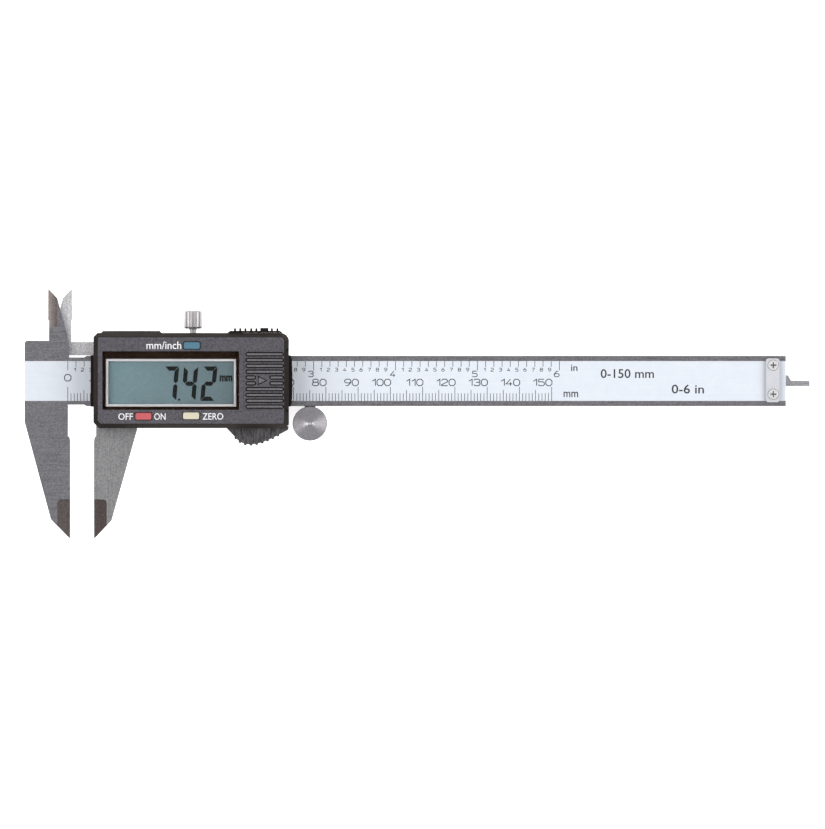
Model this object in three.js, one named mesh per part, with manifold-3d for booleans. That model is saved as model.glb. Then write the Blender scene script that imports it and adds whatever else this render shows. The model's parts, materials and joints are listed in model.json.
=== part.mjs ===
// Digital caliper, 0-150 mm, lying on the back of its slider.
//
// Millimetres. +X runs along the beam from the jaws to the depth rod's end, +Y points to the
// inside jaws and +Z points out of the front face.
// The pieces are drawn with X = 0 on the fixed measuring face, Y = 0 on the beam's centreline and
// Z = 0 on the slider's back. Pieces on the slider use the same axes with X = 0 on the moving
// measuring face, and their group stands OPENING further along the beam.
// The whole object is then moved so that its origin is the middle of its box's bottom face.

import * as THREE from 'three';
import { mergeVertices } from 'three/addons/utils/BufferGeometryUtils.js';
import Module from 'manifold-3d';

const wasm = await Module();
wasm.setup();

// ---------------------------------------------------------------- driving dimensions

const OPENING = 7.42; // reading at rest: distance between the outside measuring faces
const GAP = 0.03; // between pieces that rest on each other
const RUN = 0.1; // running clearance of sliding pieces
const BEYOND = 1; // how far a cutting tool reaches past the face it cuts
const SEATED = 0.2; // how far a raised detail reaches into the body it grows from

const BEAM = { left: -14.08, right: 221.9, half: 7.8, back: 2.0, front: 5.5 };
const RECESS = { half: 6.25, floor: 4.6 };
const BOARD_STRIP = { half: 6.2, thickness: 0.6 };
const LABEL_THICKNESS = 0.2;
const RELIEF = { end: 4.2, slope: 1.2, depth: 0.5 }; // ground away on the beam's edges by the jaws
const ROD_GROOVE = { left: 44, half: 1.95, depth: 1.75 };

const JAW_SPLIT = { low: 3.65, high: 3.75 }; // the inside jaws share the beam's thickness
const INSIDE_EDGE = -6.82; // both inside measuring edges, with the jaws closed
const OUTSIDE_TIP = -48.75;
const INSIDE_TIP = 28.57;
const GROUND = { top: -36.7, width: 3.95, shallow: 0.12, deep: 1.05, corner: 1.1 };
const INSIDE_GROUND = { width: 2.8, deep: 0.95, bottom: 16.7 }; // the inside jaws' thinned edges

const FRAME = { left: 0.7, right: 58.7, bottom: -12.6, top: 12.9, plate: 1.9 };
const LIP = { half: 6.4, back: 5.58, front: 6.3 };
const LIP_PLAY = 0.04; // the case stands this far off the beam side of the lips
const JAW_ROOM = 14.2; // right end of the case's opening for the moving jaw
const GIB = { low: 7.84, high: 8.95, channel: 9.35, left: 1.8, right: 58.4 };

const CASE = {
  left: 0, right: 60.4, bottom: -14.6, top: 14.85, back: 0.5, front: 15.5,
  wall: 1.6, plate: 2.2, bevelWidth: 1.4, bevelHeight: 2.0, corner: 1.1,
};
const THUMB_REST = { back: 1.5, front: 10.5, toothRadius: 0.45, toothInset: 0.4 };
// The raised block on the case's upper edge.
const SMOOTH_BLOCK = { left: 2.0, right: 21.3, top: 15.5, ramp: 0.9, back: 3, front: 12 };
const BOSS_RADIUS = 2.1;
// The collars of the case where the beam runs in and out.
const COLLARS = { half: 7.95, left: -0.98, leftEnd: 0.6, right: 60.9, bulge: 0.85, inset: 1.1, front: 8.2 };
const WINDOW = { left: 3.77, right: 44.25, bottom: -8.0, top: 6.87 };
const LENS = { left: 2.8, right: 45.1, bottom: -8.93, top: 9.17, thickness: 0.9, sunk: 0.4 };
const PCB = { left: 2.2, right: 58.2, bottom: -12.4, top: 12.7, thickness: 1.0 };
const LCD = { left: 3.2, right: 44.8, bottom: -8.15, top: 7.9, thickness: 2.0, front: 13.1 };

const BUTTON = {
  width: 5.2, height: 2.3, proud: 0.45, corner: 0.5, play: 0.12,
  flange: 0.55, flangeMargin: 0.45, stem: 1.0, travel: 0.5,
};
const BUTTONS = {
  unit: { x: 30.45, y: 10.95, colour: 0x3f86a8 },
  power: { x: 15.5, y: -10.95, colour: 0xb8323a },
  zero: { x: 30.25, y: -10.8, colour: 0xd9d3b4 },
};
const DOME = { radius: 2.0, height: 0.6 };

const CELL = { x: 52.7, y: 0.1, radius: 5.8, bottom: 7.85, height: 5.4 };
const CELL_POCKET = 6.0; // radius of the cell's room in the case
const CELL_SIDES = 28;
const CELL_BLOCK = { left: 46.2, bottom: -10.4, top: 10.7 };
const CELL_BLADE = { x: 46.42, thickness: 0.25, half: 2.9, halfRoom: 3.2, play: 0.17, top: 12.6 };
const COVER = { left: 46.6, bottom: -9.0, top: 9.3, thickness: 1.9, rail: 0.6, railHeight: 0.75, play: 0.08 };
const RIBS = { left: 47.3, right: 58.7, pitch: 1.8, count: 10, width: 1.0, height: 0.3 };
const COVER_ARROW = { left: 50.9, right: 53.9, half: 1.5, room: 0.7 }; // raised arrow between the middle ribs
const PORT_COVER = {
  left: 41.4, right: 58.6, back: 6.6, front: 13.2, thickness: 0.62, ramp: 0.9, travel: 12.2, lift: 0.05,
};
const PORT_TEETH = {
  places: [43.8, 45.4, 47.0, 48.8, 50.4, 55.2, 56.9], half: 0.3, height: 0.8, margin: 0.4,
};
const PORT_ARROW = { left: 51.6, right: 54.1, height: 0.9 };
const PORT_TONGUE = { left: 42.1, right: 46.1, z: 10.0, half: 1.2, flange: 1.7, depth: 1.5, play: 0.08 };
const PORT = {
  left: 47.5, right: 53.5, low: 10.95, high: 13.1, blockFront: 8.4, pinFront: 11.0,
  pins: 4, pitch: 1.4, pinHalf: 0.35, pinDepth: 1.1,
};

const LOCK = { x: 30.7, z: 3.75, shank: 0.95, tip: 9.05, neckEnd: 16.24, headEnd: 21.8, head: 2.8 };
const SET_SCREWS = [22.5, 38.5];
const ROLLER = {
  x: 66.94, radius: 5.4, play: 0.04, back: 1.4, front: 6.4, chamfer: 0.35,
  bore: 0.66, sink: 1.0, sinkDepth: 0.75,
};
const AXLE = {
  radius: 0.62, hole: 0.7, flange: 1.5, flangeTop: 0.45, back: 0.1, head: 0.92, headHeight: 0.25, crown: 0.34,
};
ROLLER.y = -BEAM.half - ROLLER.radius;
const BRACKET = { left: 42, step: 53.3, thickness: 1.0, bottom: -11.8, arm: -7.35, top: -2.6 };

const ROD = {
  left: 48, footEnd: 56.5, bottom: -1.62, top: 1.8, back: 2.1, front: 3.6,
  tipTop: 0.15, tipLength: 5.8, stepRamp: 0.9,
};
const END_PLATE = { left: 215.7, right: 219.9, bottom: -6.6, top: 7.0, thickness: 0.95, corner: 0.8 };
const END_SCREW_X = 217.95;
const END_SCREWS_Y = [4.9, -4.1];

const CASE_SCREWS = [[5.0, 11.0], [22.5, -10.35], [56.0, 11.0], [56.0, -10.35]];
const BOARD_SCREWS = [[9.6, 11.1], [36.8, -10.6]];
const ROD_SCREWS = [50.5, 54.5];
const ROD_SCREW_Y = 0.1;
const BRACKET_SCREWS = [44.6, 50.6];
const BRACKET_SCREW_Y = -9.6;

// Screw sizes. clear is the radius of a through hole, tapped of a threaded one, sink of the head's room.
const CASE_SCREW = {
  shank: 0.85, head: 1.7, headHeight: 1.0, clear: 1.0, sink: 1.9, sinkDepth: 1.2, end: 11.2,
};
const ROD_SCREW = {
  shank: 0.8, head: 1.45, headHeight: 0.8, clear: 0.95, tapped: 0.85, sink: 1.6, sinkDepth: 1.0,
};
const BOARD_SCREW = {
  shank: 0.8, head: 1.6, headHeight: 0.9, clear: 0.95, tapped: 0.85, holeEnd: 3.2, end: 3.6,
};
const BRACKET_SCREW = {
  shank: 0.8, head: 1.6, headHeight: 0.5, clear: 0.95, tapped: 0.85, sink: 1.7, sinkDepth: 0.6,
  holeEnd: 4.6, end: 4.4,
};
const END_SCREW = {
  shank: 0.8, head: 1.6, headHeight: 0.75, clear: 0.95, tapped: 0.85, sink: 1.7, seat: 0.5,
  holeEnd: 3.0, end: 3.2,
};
const SET_SCREW = { radius: 1.22, length: 2.6, slotHalf: 0.2, slotDepth: 0.6 };
const HOLE_SIDES = 12;

const BACK_LABEL = {
  left: 6, right: 39.5, bottom: -7.5, top: 7.7, corner: 1, margin: 0.2, back: 0.08, pocket: 0.25,
};

const BOARD_TOP = LIP.front + GAP + PCB.thickness;
const END_SCREW_SEAT = BEAM.front + END_SCREW.seat;
const BUTTON_SEAT = CASE.front - CASE.plate - GAP; // height of the top of a button's flange
const SCREW_SIDES = 16;

// ---------------------------------------------------------------- shape helpers

function solid(geometry) {
  const bare = geometry.clone();
  bare.deleteAttribute('normal');
  bare.deleteAttribute('uv');
  const merged = mergeVertices(bare, 1e-4);
  const index = merged.index.array;
  const triangles = [];
  for (let i = 0; i < index.length; i += 3) {
    const [a, b, c] = [index[i], index[i + 1], index[i + 2]];
    if (a !== b && b !== c && c !== a) triangles.push(a, b, c);
  }
  return new wasm.Manifold(new wasm.Mesh({
    numProp: 3,
    vertProperties: new Float32Array(merged.attributes.position.array),
    triVerts: new Uint32Array(triangles),
  }));
}

function join(first, ...others) {
  return others.reduce((whole, other) => whole.add(other), first);
}

function cut(first, ...tools) {
  return tools.reduce((whole, tool) => whole.subtract(tool), first);
}

function box(x0, x1, y0, y1, z0, z1) {
  const geometry = new THREE.BoxGeometry(x1 - x0, y1 - y0, z1 - z0);
  geometry.translate((x0 + x1) / 2, (y0 + y1) / 2, (z0 + z1) / 2);
  return solid(geometry);
}

function polygon(points) {
  return new THREE.Shape(points.map(([x, y]) => new THREE.Vector2(x, y)));
}

function roundedRectangle(x0, x1, y0, y1, radius) {
  const shape = new THREE.Shape();
  shape.moveTo(x0 + radius, y0);
  shape.lineTo(x1 - radius, y0);
  shape.absarc(x1 - radius, y0 + radius, radius, -Math.PI / 2, 0);
  shape.lineTo(x1, y1 - radius);
  shape.absarc(x1 - radius, y1 - radius, radius, 0, Math.PI / 2);
  shape.lineTo(x0 + radius, y1);
  shape.absarc(x0 + radius, y1 - radius, radius, Math.PI / 2, Math.PI);
  shape.lineTo(x0, y0 + radius);
  shape.absarc(x0 + radius, y0 + radius, radius, Math.PI, Math.PI * 1.5);
  return shape;
}

function plate(shape, z0, z1, curveSegments = 4) {
  const geometry = new THREE.ExtrudeGeometry(shape, { depth: z1 - z0, bevelEnabled: false, curveSegments });
  geometry.translate(0, 0, z0);
  return solid(geometry);
}

function cylinder(x, y, z0, z1, radius, sides = SCREW_SIDES) {
  const geometry = new THREE.CylinderGeometry(radius, radius, z1 - z0, sides);
  geometry.rotateX(Math.PI / 2);
  geometry.translate(x, y, (z0 + z1) / 2);
  return solid(geometry);
}

function cylinderAlongY(x, z, y0, y1, radius, sides = SCREW_SIDES) {
  const geometry = new THREE.CylinderGeometry(radius, radius, y1 - y0, sides);
  geometry.translate(x, (y0 + y1) / 2, z);
  return solid(geometry);
}

// A body turned about Z from a profile of [radius, height] pairs.
function turned(profile, sides = SCREW_SIDES) {
  const points = profile.map(([radius, height]) => new THREE.Vector2(radius, height));
  const geometry = new THREE.LatheGeometry(points, sides);
  geometry.rotateX(Math.PI / 2);
  return solid(geometry);
}

// A bar whose section is drawn in X and Z, running from y0 to y1.
function barAlongY(points, y0, y1) {
  const geometry = new THREE.ExtrudeGeometry(polygon(points), { depth: y1 - y0, bevelEnabled: false });
  geometry.rotateX(Math.PI / 2);
  geometry.translate(0, y1, 0);
  return solid(geometry);
}

// A cross-recess cutter for a screw head whose top is at z.
function crossRecess(z, reach, depth) {
  const half = 0.2;
  return join(
    box(-reach, reach, -half, half, z - depth, z + BEYOND),
    box(-half, half, -reach, reach, z - depth, z + BEYOND),
  );
}

// A screw along Z. Its head stands on z = seat and its shank runs to z = end.
function screw({ shank, head, headHeight }, seat, end) {
  const up = Math.sign(seat - end);
  const root = seat + 0.3 * up * headHeight;
  const stem = cylinder(0, 0, Math.min(root, end), Math.max(root, end), shank, HOLE_SIDES);
  const top = seat + up * headHeight;
  const disc = cylinder(0, 0, Math.min(seat, top), Math.max(seat, top), head);
  const recess = 0.6 * headHeight;
  const cross = crossRecess(up > 0 ? top : top - BEYOND + recess, 0.6 * head, recess);
  return cut(join(stem, disc), cross);
}

// ---------------------------------------------------------------- materials and meshes

const FINISHES = {
  steel: { color: 0xa7a5ab, roughness: 0.38, metalness: 1 },
  brightSteel: { color: 0xd4d3d6, roughness: 0.25, metalness: 1 },
  brass: { color: 0xb7924a, roughness: 0.35, metalness: 1 },
  label: { color: 0xe6edf5, roughness: 0.45, metalness: 0.1 },
  fibreglass: { color: 0x2f6b45, roughness: 0.55, metalness: 0 },
  blackPlastic: { color: 0x2b2a2c, roughness: 0.62, metalness: 0 },
  clear: { color: 0xf2f6f6, roughness: 0.05, metalness: 0, transparent: true, opacity: 0.2 },
  displayGlass: { color: 0x6f8a8c, roughness: 0.25, metalness: 0 },
  silver: { color: 0xdadee2, roughness: 0.3, metalness: 0.4 },
  rubber: { color: 0x4a4d52, roughness: 0.85, metalness: 0 },
  epoxy: { color: 0x101011, roughness: 0.35, metalness: 0 },
  gold: { color: 0xc9a24a, roughness: 0.3, metalness: 1 },
  paper: { color: 0xd9dcdf, roughness: 0.6, metalness: 0 },
};

function mesh(name, body, finish) {
  const { vertProperties, triVerts } = body.getMesh();
  const geometry = new THREE.BufferGeometry();
  geometry.setAttribute('position', new THREE.BufferAttribute(new Float32Array(vertProperties), 3));
  geometry.setIndex(new THREE.BufferAttribute(new Uint32Array(triVerts), 1));
  geometry.computeVertexNormals();
  const made = new THREE.Mesh(geometry, new THREE.MeshStandardMaterial(finish));
  made.name = name;
  return made;
}

// ---------------------------------------------------------------- beam side

// Two wedges that thin a jaw towards its measuring face, on the front and on the back.
// side is +1 where the jaw lies on the -X side of its face at X = 0, and -1 where it lies on +X.
function jawThinning(side) {
  const edge = side * -GROUND.width;
  const past = side * BEYOND;
  const patch = new THREE.Shape();
  const bottom = OUTSIDE_TIP - BEYOND;
  patch.moveTo(past, bottom);
  patch.lineTo(past, GROUND.top);
  patch.lineTo(edge + side * GROUND.corner, GROUND.top);
  patch.quadraticCurveTo(edge, GROUND.top, edge, GROUND.top - GROUND.corner);
  patch.lineTo(edge, bottom);
  const outline = plate(patch, BEAM.back - BEYOND, BEAM.front + BEYOND);
  const steep = (GROUND.deep - GROUND.shallow) / GROUND.width;
  const deepest = GROUND.deep + steep * BEYOND;
  const wedge = (face, out) => barAlongY([
    [edge, face - out * GROUND.shallow],
    [past, face - out * deepest],
    [past, face + out * BEYOND],
    [edge, face + out * BEYOND],
  ], bottom, GROUND.top);
  return join(wedge(BEAM.front, 1), wedge(BEAM.back, -1)).intersect(outline);
}

// The wedge that grinds an inside jaw to an edge. face is the jaw's ground face, out its direction.
function insideThinning(edge, side, face, out) {
  const { width, deep, bottom } = INSIDE_GROUND;
  return barAlongY([
    [edge - side * width, face],
    [edge + side * BEYOND, face - out * deep * (1 + BEYOND / width)],
    [edge + side * BEYOND, face + out * BEYOND],
    [edge - side * width, face + out * BEYOND],
  ], bottom, INSIDE_TIP + BEYOND);
}

function edgeRelief(y, out, start) {
  const floor = y - out * RELIEF.depth;
  const shape = new THREE.Shape();
  shape.moveTo(start, y + out * BEYOND);
  shape.lineTo(start, floor);
  shape.lineTo(RELIEF.end, floor);
  shape.bezierCurveTo(
    RELIEF.end + RELIEF.slope / 2, floor, RELIEF.end + RELIEF.slope / 2, y, RELIEF.end + RELIEF.slope, y,
  );
  shape.lineTo(RELIEF.end + RELIEF.slope, y + out * BEYOND);
  return plate(shape, BEAM.back - BEYOND, BEAM.front + BEYOND);
}

function endScrewHoles(radius) {
  const holes = END_SCREWS_Y.map((y) => cylinder(END_SCREW_X, y, END_SCREW.holeEnd,
    BEAM.front + 2 * BEYOND, radius, HOLE_SIDES));
  return join(...holes);
}

function beam() {
  const bar = box(BEAM.left, BEAM.right, -BEAM.half, BEAM.half, BEAM.back, BEAM.front);
  const outsideJaw = plate(fixedOutsideOutline(), BEAM.back, BEAM.front);
  const insideJaw = plate(fixedInsideOutline(), JAW_SPLIT.high, BEAM.front);
  const recess = box(BEAM.left - BEYOND, BEAM.right + BEYOND, -RECESS.half, RECESS.half,
    RECESS.floor, BEAM.front + BEYOND);
  const groove = box(ROD_GROOVE.left, BEAM.right + BEYOND, -ROD_GROOVE.half, ROD_GROOVE.half,
    BEAM.back - BEYOND, BEAM.back + ROD_GROOVE.depth);
  return cut(
    join(bar, outsideJaw, insideJaw),
    recess,
    groove,
    edgeRelief(BEAM.half, 1, -0.29),
    edgeRelief(-BEAM.half, -1, -0.71),
    jawThinning(1),
    insideThinning(INSIDE_EDGE, -1, BEAM.front, 1),
    endScrewHoles(END_SCREW.tapped),
  );
}

function fixedOutsideOutline() {
  const shape = new THREE.Shape();
  shape.moveTo(BEAM.left, 0);
  shape.lineTo(BEAM.left, -12.65);
  shape.lineTo(-5.93, -42.9);
  shape.lineTo(-0.25, OUTSIDE_TIP);
  shape.lineTo(0, OUTSIDE_TIP);
  shape.lineTo(0, -18.9);
  shape.quadraticCurveTo(-0.05, -17.4, -0.71, -17.05);
  shape.lineTo(-0.71, 0);
  return shape;
}

function fixedInsideOutline() {
  const shoulder = 12.5;
  const corner = 1.0;
  const shape = new THREE.Shape();
  shape.moveTo(BEAM.left, RECESS.half);
  shape.lineTo(-0.29, RECESS.half);
  shape.lineTo(-0.29, 10);
  shape.quadraticCurveTo(-0.42, 12.2, -0.84, 14.25);
  shape.lineTo(-3.98, 25.7);
  shape.lineTo(INSIDE_EDGE + 0.15, INSIDE_TIP);
  shape.lineTo(INSIDE_EDGE, INSIDE_TIP);
  shape.lineTo(INSIDE_EDGE, 18.75);
  shape.lineTo(-6.53, 18.75);
  shape.lineTo(-6.53, shoulder);
  shape.lineTo(BEAM.left + corner, shoulder);
  shape.quadraticCurveTo(BEAM.left, shoulder, BEAM.left, shoulder - corner);
  return shape;
}

function scaleBoard() {
  const strip = box(BEAM.left, BEAM.right, -BOARD_STRIP.half, BOARD_STRIP.half,
    RECESS.floor, RECESS.floor + BOARD_STRIP.thickness);
  return cut(strip, endScrewHoles(END_SCREW.clear));
}

function scaleLabel() {
  const bottom = RECESS.floor + BOARD_STRIP.thickness;
  const sheet = box(BEAM.left, BEAM.right, -BOARD_STRIP.half, BOARD_STRIP.half,
    bottom, bottom + LABEL_THICKNESS);
  return cut(sheet, endScrewHoles(END_SCREW.clear));
}

function endStopPlate() {
  const outline = roundedRectangle(END_PLATE.left, END_PLATE.right, END_PLATE.bottom, END_PLATE.top,
    END_PLATE.corner);
  const sinks = END_SCREWS_Y.map((y) => cylinder(END_SCREW_X, y, END_SCREW_SEAT, BEAM.front + 2 * BEYOND,
    END_SCREW.sink));
  const body = plate(outline, BEAM.front, BEAM.front + END_PLATE.thickness);
  return cut(body, endScrewHoles(END_SCREW.clear), ...sinks);
}

// ---------------------------------------------------------------- slider frame

function sliderFrame() {
  const { left, right, bottom, top } = FRAME;
  const body = join(
    box(left, right, bottom, top, 0, FRAME.plate),
    box(left, right, bottom, -BEAM.half - RUN, 0, LIP.front),
    box(left, right, GIB.channel, top, 0, LIP.front),
    box(left, right, bottom, -LIP.half, LIP.back, LIP.front),
    box(left, right, LIP.half, top, LIP.back, LIP.front),
    cut(plate(movingOutsideOutline(), BEAM.back, BEAM.front), jawThinning(-1)),
    cut(
      plate(movingInsideOutline(), BEAM.back, JAW_SPLIT.low),
      insideThinning(INSIDE_EDGE, 1, BEAM.back, -1),
    ),
  );
  const fromBack = (place, { clear, sink, sinkDepth }, end) => [
    cylinder(...place, -BEYOND, end, clear, HOLE_SIDES),
    cylinder(...place, -BEYOND, sinkDepth, sink),
  ];
  const caseHoles = CASE_SCREWS.flatMap((place) => fromBack(place, CASE_SCREW, LIP.front + BEYOND));
  const rodHoles = ROD_SCREWS.flatMap((x) => fromBack([x, ROD_SCREW_Y], ROD_SCREW, FRAME.plate + BEYOND));
  const boardHoles = BOARD_SCREWS.map((place) => cylinder(...place, BOARD_SCREW.holeEnd,
    LIP.front + BEYOND, BOARD_SCREW.tapped, HOLE_SIDES));
  const bracketHoles = BRACKET_SCREWS.map((x) => cylinder(x, BRACKET_SCREW_Y, -BEYOND,
    BRACKET_SCREW.holeEnd, BRACKET_SCREW.tapped, HOLE_SIDES));
  const inner = GIB.channel - BEYOND;
  const outer = top + BEYOND;
  const setHoles = SET_SCREWS.map((x) => cylinderAlongY(x, LOCK.z, inner, outer, SET_SCREW.radius + 0.08));
  const lockHole = cylinderAlongY(LOCK.x, LOCK.z, inner, outer, LOCK.shank + 0.07);
  const bracketPocket = join(
    box(BRACKET.left - RUN, BRACKET.step + RUN, BRACKET.bottom - RUN, BRACKET.top + RUN,
      -BEYOND, BRACKET.thickness + GAP),
    box(BRACKET.left, right + BEYOND, BRACKET.arm - RUN, BRACKET.top + RUN, -BEYOND, BRACKET.thickness + GAP),
  );
  const { corner, margin, pocket } = BACK_LABEL;
  const labelPocket = plate(roundedRectangle(
    BACK_LABEL.left - margin, BACK_LABEL.right + margin, BACK_LABEL.bottom - margin, BACK_LABEL.top + margin,
    corner + margin,
  ), -BEYOND, pocket);
  return cut(body, ...caseHoles, ...boardHoles, ...rodHoles, ...bracketHoles, ...setHoles, lockHole,
    bracketPocket, labelPocket);
}

function movingOutsideOutline() {
  const shape = new THREE.Shape();
  shape.moveTo(0.67, -9);
  shape.lineTo(0.67, -17.05);
  shape.quadraticCurveTo(0.05, -17.4, 0, -18.9);
  shape.lineTo(0, OUTSIDE_TIP);
  shape.lineTo(0.25, OUTSIDE_TIP);
  shape.lineTo(5.41, -43.25);
  shape.lineTo(13.3, -15.2);
  shape.lineTo(13.3, -9);
  return shape;
}

function movingInsideOutline() {
  const low = BEAM.half + 0.15;
  const shape = new THREE.Shape();
  shape.moveTo(1.6, low);
  shape.lineTo(1.6, 12.1);
  shape.lineTo(INSIDE_EDGE - 0.29, 12.1);
  shape.lineTo(INSIDE_EDGE - 0.29, 18.75);
  shape.lineTo(INSIDE_EDGE, 18.75);
  shape.lineTo(INSIDE_EDGE, INSIDE_TIP);
  shape.lineTo(INSIDE_EDGE - 0.15, INSIDE_TIP);
  shape.lineTo(-9.66, 25.7);
  shape.lineTo(-12.8, 14.25);
  shape.quadraticCurveTo(-13.22, 12.2, -13.35, 10);
  shape.lineTo(-13.35, low);
  return shape;
}

function gibStrip() {
  return box(GIB.left, GIB.right, GIB.low, GIB.high, BEAM.back + GAP, BEAM.front - GAP);
}

function gibSetScrew() {
  const { radius, length, slotHalf, slotDepth } = SET_SCREW;
  const body = cylinder(0, 0, 0, length, radius, 14);
  const slot = box(-slotHalf, slotHalf, -2 * radius, 2 * radius, length - slotDepth, length + BEYOND);
  return cut(body, slot);
}

// ---------------------------------------------------------------- case

function caseOutline() {
  const { left, right, bottom, top, bevelWidth: b } = CASE;
  const shape = new THREE.Shape();
  shape.moveTo(left + b + 0.9, bottom + b);
  shape.lineTo(right - b - 0.3, bottom + b);
  shape.lineTo(right - b, bottom + b + 0.3);
  shape.lineTo(right - b, top - b - CASE.corner);
  shape.absarc(right - b - CASE.corner, top - b - CASE.corner, CASE.corner, 0, Math.PI / 2);
  shape.lineTo(left + b + 0.4, top - b);
  shape.lineTo(left + b, top - b - 0.4);
  shape.lineTo(left + b, bottom + b + 0.9);
  return shape;
}

function caseBlock() {
  const { left, right, bottom, top, back, front, bevelWidth, bevelHeight } = CASE;
  const geometry = new THREE.ExtrudeGeometry(caseOutline(), {
    depth: front - back - bevelHeight,
    bevelEnabled: true,
    bevelSize: bevelWidth,
    bevelThickness: bevelHeight,
    bevelSegments: 1,
    curveSegments: 5,
  });
  geometry.translate(0, 0, back);
  const whole = solid(geometry);
  const behind = box(left - BEYOND, right + BEYOND, bottom - BEYOND, top + BEYOND,
    back - 2 * bevelHeight, back);
  return cut(whole, behind);
}

// The thumb rest swells from the lower edge, with a row of teeth along its curve.
function thumbRest() {
  const crest = new THREE.CubicBezierCurve(
    new THREE.Vector2(44.0, -17.6),
    new THREE.Vector2(46.4, -20.6),
    new THREE.Vector2(50.6, -20.3),
    new THREE.Vector2(57.0, -16.8),
  );
  const foot = [[60.2, -15.1], [60.3, -14], [40.6, -14]];
  const shape = polygon([...crest.getSpacedPoints(10).map(({ x, y }) => [x, y]), ...foot]);
  const { back, front, toothRadius, toothInset } = THUMB_REST;
  const teeth = crest.getSpacedPoints(8).map(({ x, y }) => cylinder(x, y, back + toothInset,
    front - toothInset, toothRadius, 8));
  return join(plate(shape, back, front), ...teeth);
}

// Low collars that carry the case out over the beam on both sides.
function beamCollars() {
  const { half, left, leftEnd, right, bulge, inset, front } = COLLARS;
  const entry = box(left, leftEnd, -half, half, LIP.back + LIP_PLAY, front);
  const shape = new THREE.Shape();
  shape.moveTo(CASE.right - BEYOND, -half);
  shape.lineTo(right, -half);
  shape.lineTo(right + bulge / 2, -half + inset);
  shape.quadraticCurveTo(right + bulge, 0, right + bulge / 2, half - inset);
  shape.lineTo(right, half);
  shape.lineTo(CASE.right - BEYOND, half);
  return [entry, plate(shape, LIP.back + LIP_PLAY, front, 6)];
}

function frontCase() {
  const { left, right, bottom, top, back, front, wall } = CASE;
  const ceiling = front - CASE.plate;
  const shell = cut(
    caseBlock(),
    box(left + wall, right - wall, bottom + wall, top - wall, back - BEYOND, ceiling),
    box(left - BEYOND, right + BEYOND, -BEAM.half - 0.3, GIB.channel, back - BEYOND, LIP.back + LIP_PLAY),
    box(left - BEYOND, JAW_ROOM, bottom - BEYOND, -BEAM.half, back - BEYOND, LIP.back + LIP_PLAY),
    box(left - BEYOND, left + wall + 0.1, bottom + wall, top - wall, back - BEYOND, LIP.front + GAP),
  );
  const { left: blockLeft, right: blockRight, top: blockTop, ramp } = SMOOTH_BLOCK;
  const foot = top - 0.35;
  const smoothBlock = plate(polygon([
    [blockLeft, foot], [blockLeft + ramp, blockTop], [blockRight - ramp, blockTop], [blockRight, foot],
  ]), SMOOTH_BLOCK.back, SMOOTH_BLOCK.front);
  const bosses = CASE_SCREWS.map(([x, y]) => cylinder(x, y, LIP.front + RUN, ceiling + RUN, BOSS_RADIUS));
  const cellBlock = box(CELL_BLOCK.left, right - wall + RUN, CELL_BLOCK.bottom, CELL_BLOCK.top,
    BOARD_TOP + 0.15, ceiling + RUN);
  const body = join(shell, thumbRest(), smoothBlock, ...beamCollars(), ...bosses, cellBlock);
  return cut(body, ...windowCuts(), ...buttonHoles(), ...batteryCuts(), ...portCuts(), ...screwCuts());
}

function windowCuts() {
  const { front } = CASE;
  return [
    box(LENS.left, LENS.right, LENS.bottom, LENS.top, front - LENS.sunk - LENS.thickness, front + BEYOND),
    box(WINDOW.left, WINDOW.right, WINDOW.bottom, WINDOW.top, 10, front + BEYOND),
  ];
}

function buttonHoles() {
  const halfWidth = BUTTON.width / 2 + BUTTON.play;
  const halfHeight = BUTTON.height / 2 + BUTTON.play;
  const from = CASE.front - CASE.plate - BEYOND;
  return Object.values(BUTTONS).map(({ x, y }) => plate(roundedRectangle(
    x - halfWidth, x + halfWidth, y - halfHeight, y + halfHeight, BUTTON.corner + BUTTON.play,
  ), from, CASE.front + BEYOND));
}

function batteryCuts() {
  const { front, right } = CASE;
  const floor = front - COVER.thickness - GAP;
  const past = right + BEYOND;
  const left = COVER.left - COVER.play;
  const { x, halfRoom, play } = CELL_BLADE;
  return [
    box(left, past, COVER.bottom, COVER.top, floor, front + BEYOND),
    box(left, past, COVER.bottom - COVER.rail, COVER.top + COVER.rail,
      floor, floor + COVER.railHeight + COVER.play),
    cylinder(CELL.x, CELL.y, BOARD_TOP, floor + BEYOND, CELL_POCKET, CELL_SIDES),
    box(x - play, CELL.x, -halfRoom, halfRoom, BOARD_TOP, floor + BEYOND),
  ];
}

function portCuts() {
  const { top, wall } = CASE;
  const { left, right, z, half, flange, play } = PORT_TONGUE;
  const start = left - play;
  const end = right + PORT_COVER.travel + play;
  const inner = top - wall - BEYOND;
  return [
    box(start, end, inner, top + BEYOND, z - half - play, z + half + play),
    box(start, end, inner, top - wall / 2, z - flange - play, z + flange + play),
  ];
}

function screwCuts() {
  const pilotEnd = CASE_SCREW.end + 0.4;
  const pilots = CASE_SCREWS.map(([x, y]) => cylinder(x, y, 0, pilotEnd, CASE_SCREW.shank + 0.05, HOLE_SIDES));
  const inner = FRAME.top - BEYOND;
  const outer = CASE.top + 2 * BEYOND;
  const access = SET_SCREWS.map((x) => cylinderAlongY(x, LOCK.z, inner, outer, SET_SCREW.radius - 0.12));
  const lockRoom = cylinderAlongY(LOCK.x, LOCK.z, inner, outer, LOCK.shank + 0.35);
  return [...pilots, ...access, lockRoom];
}

// ---------------------------------------------------------------- display and electronics

function windowLens() {
  const gap = 0.08;
  const top = CASE.front - LENS.sunk;
  return box(LENS.left + gap, LENS.right - gap, LENS.bottom + gap, LENS.top - gap,
    top - LENS.thickness + GAP, top);
}

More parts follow.
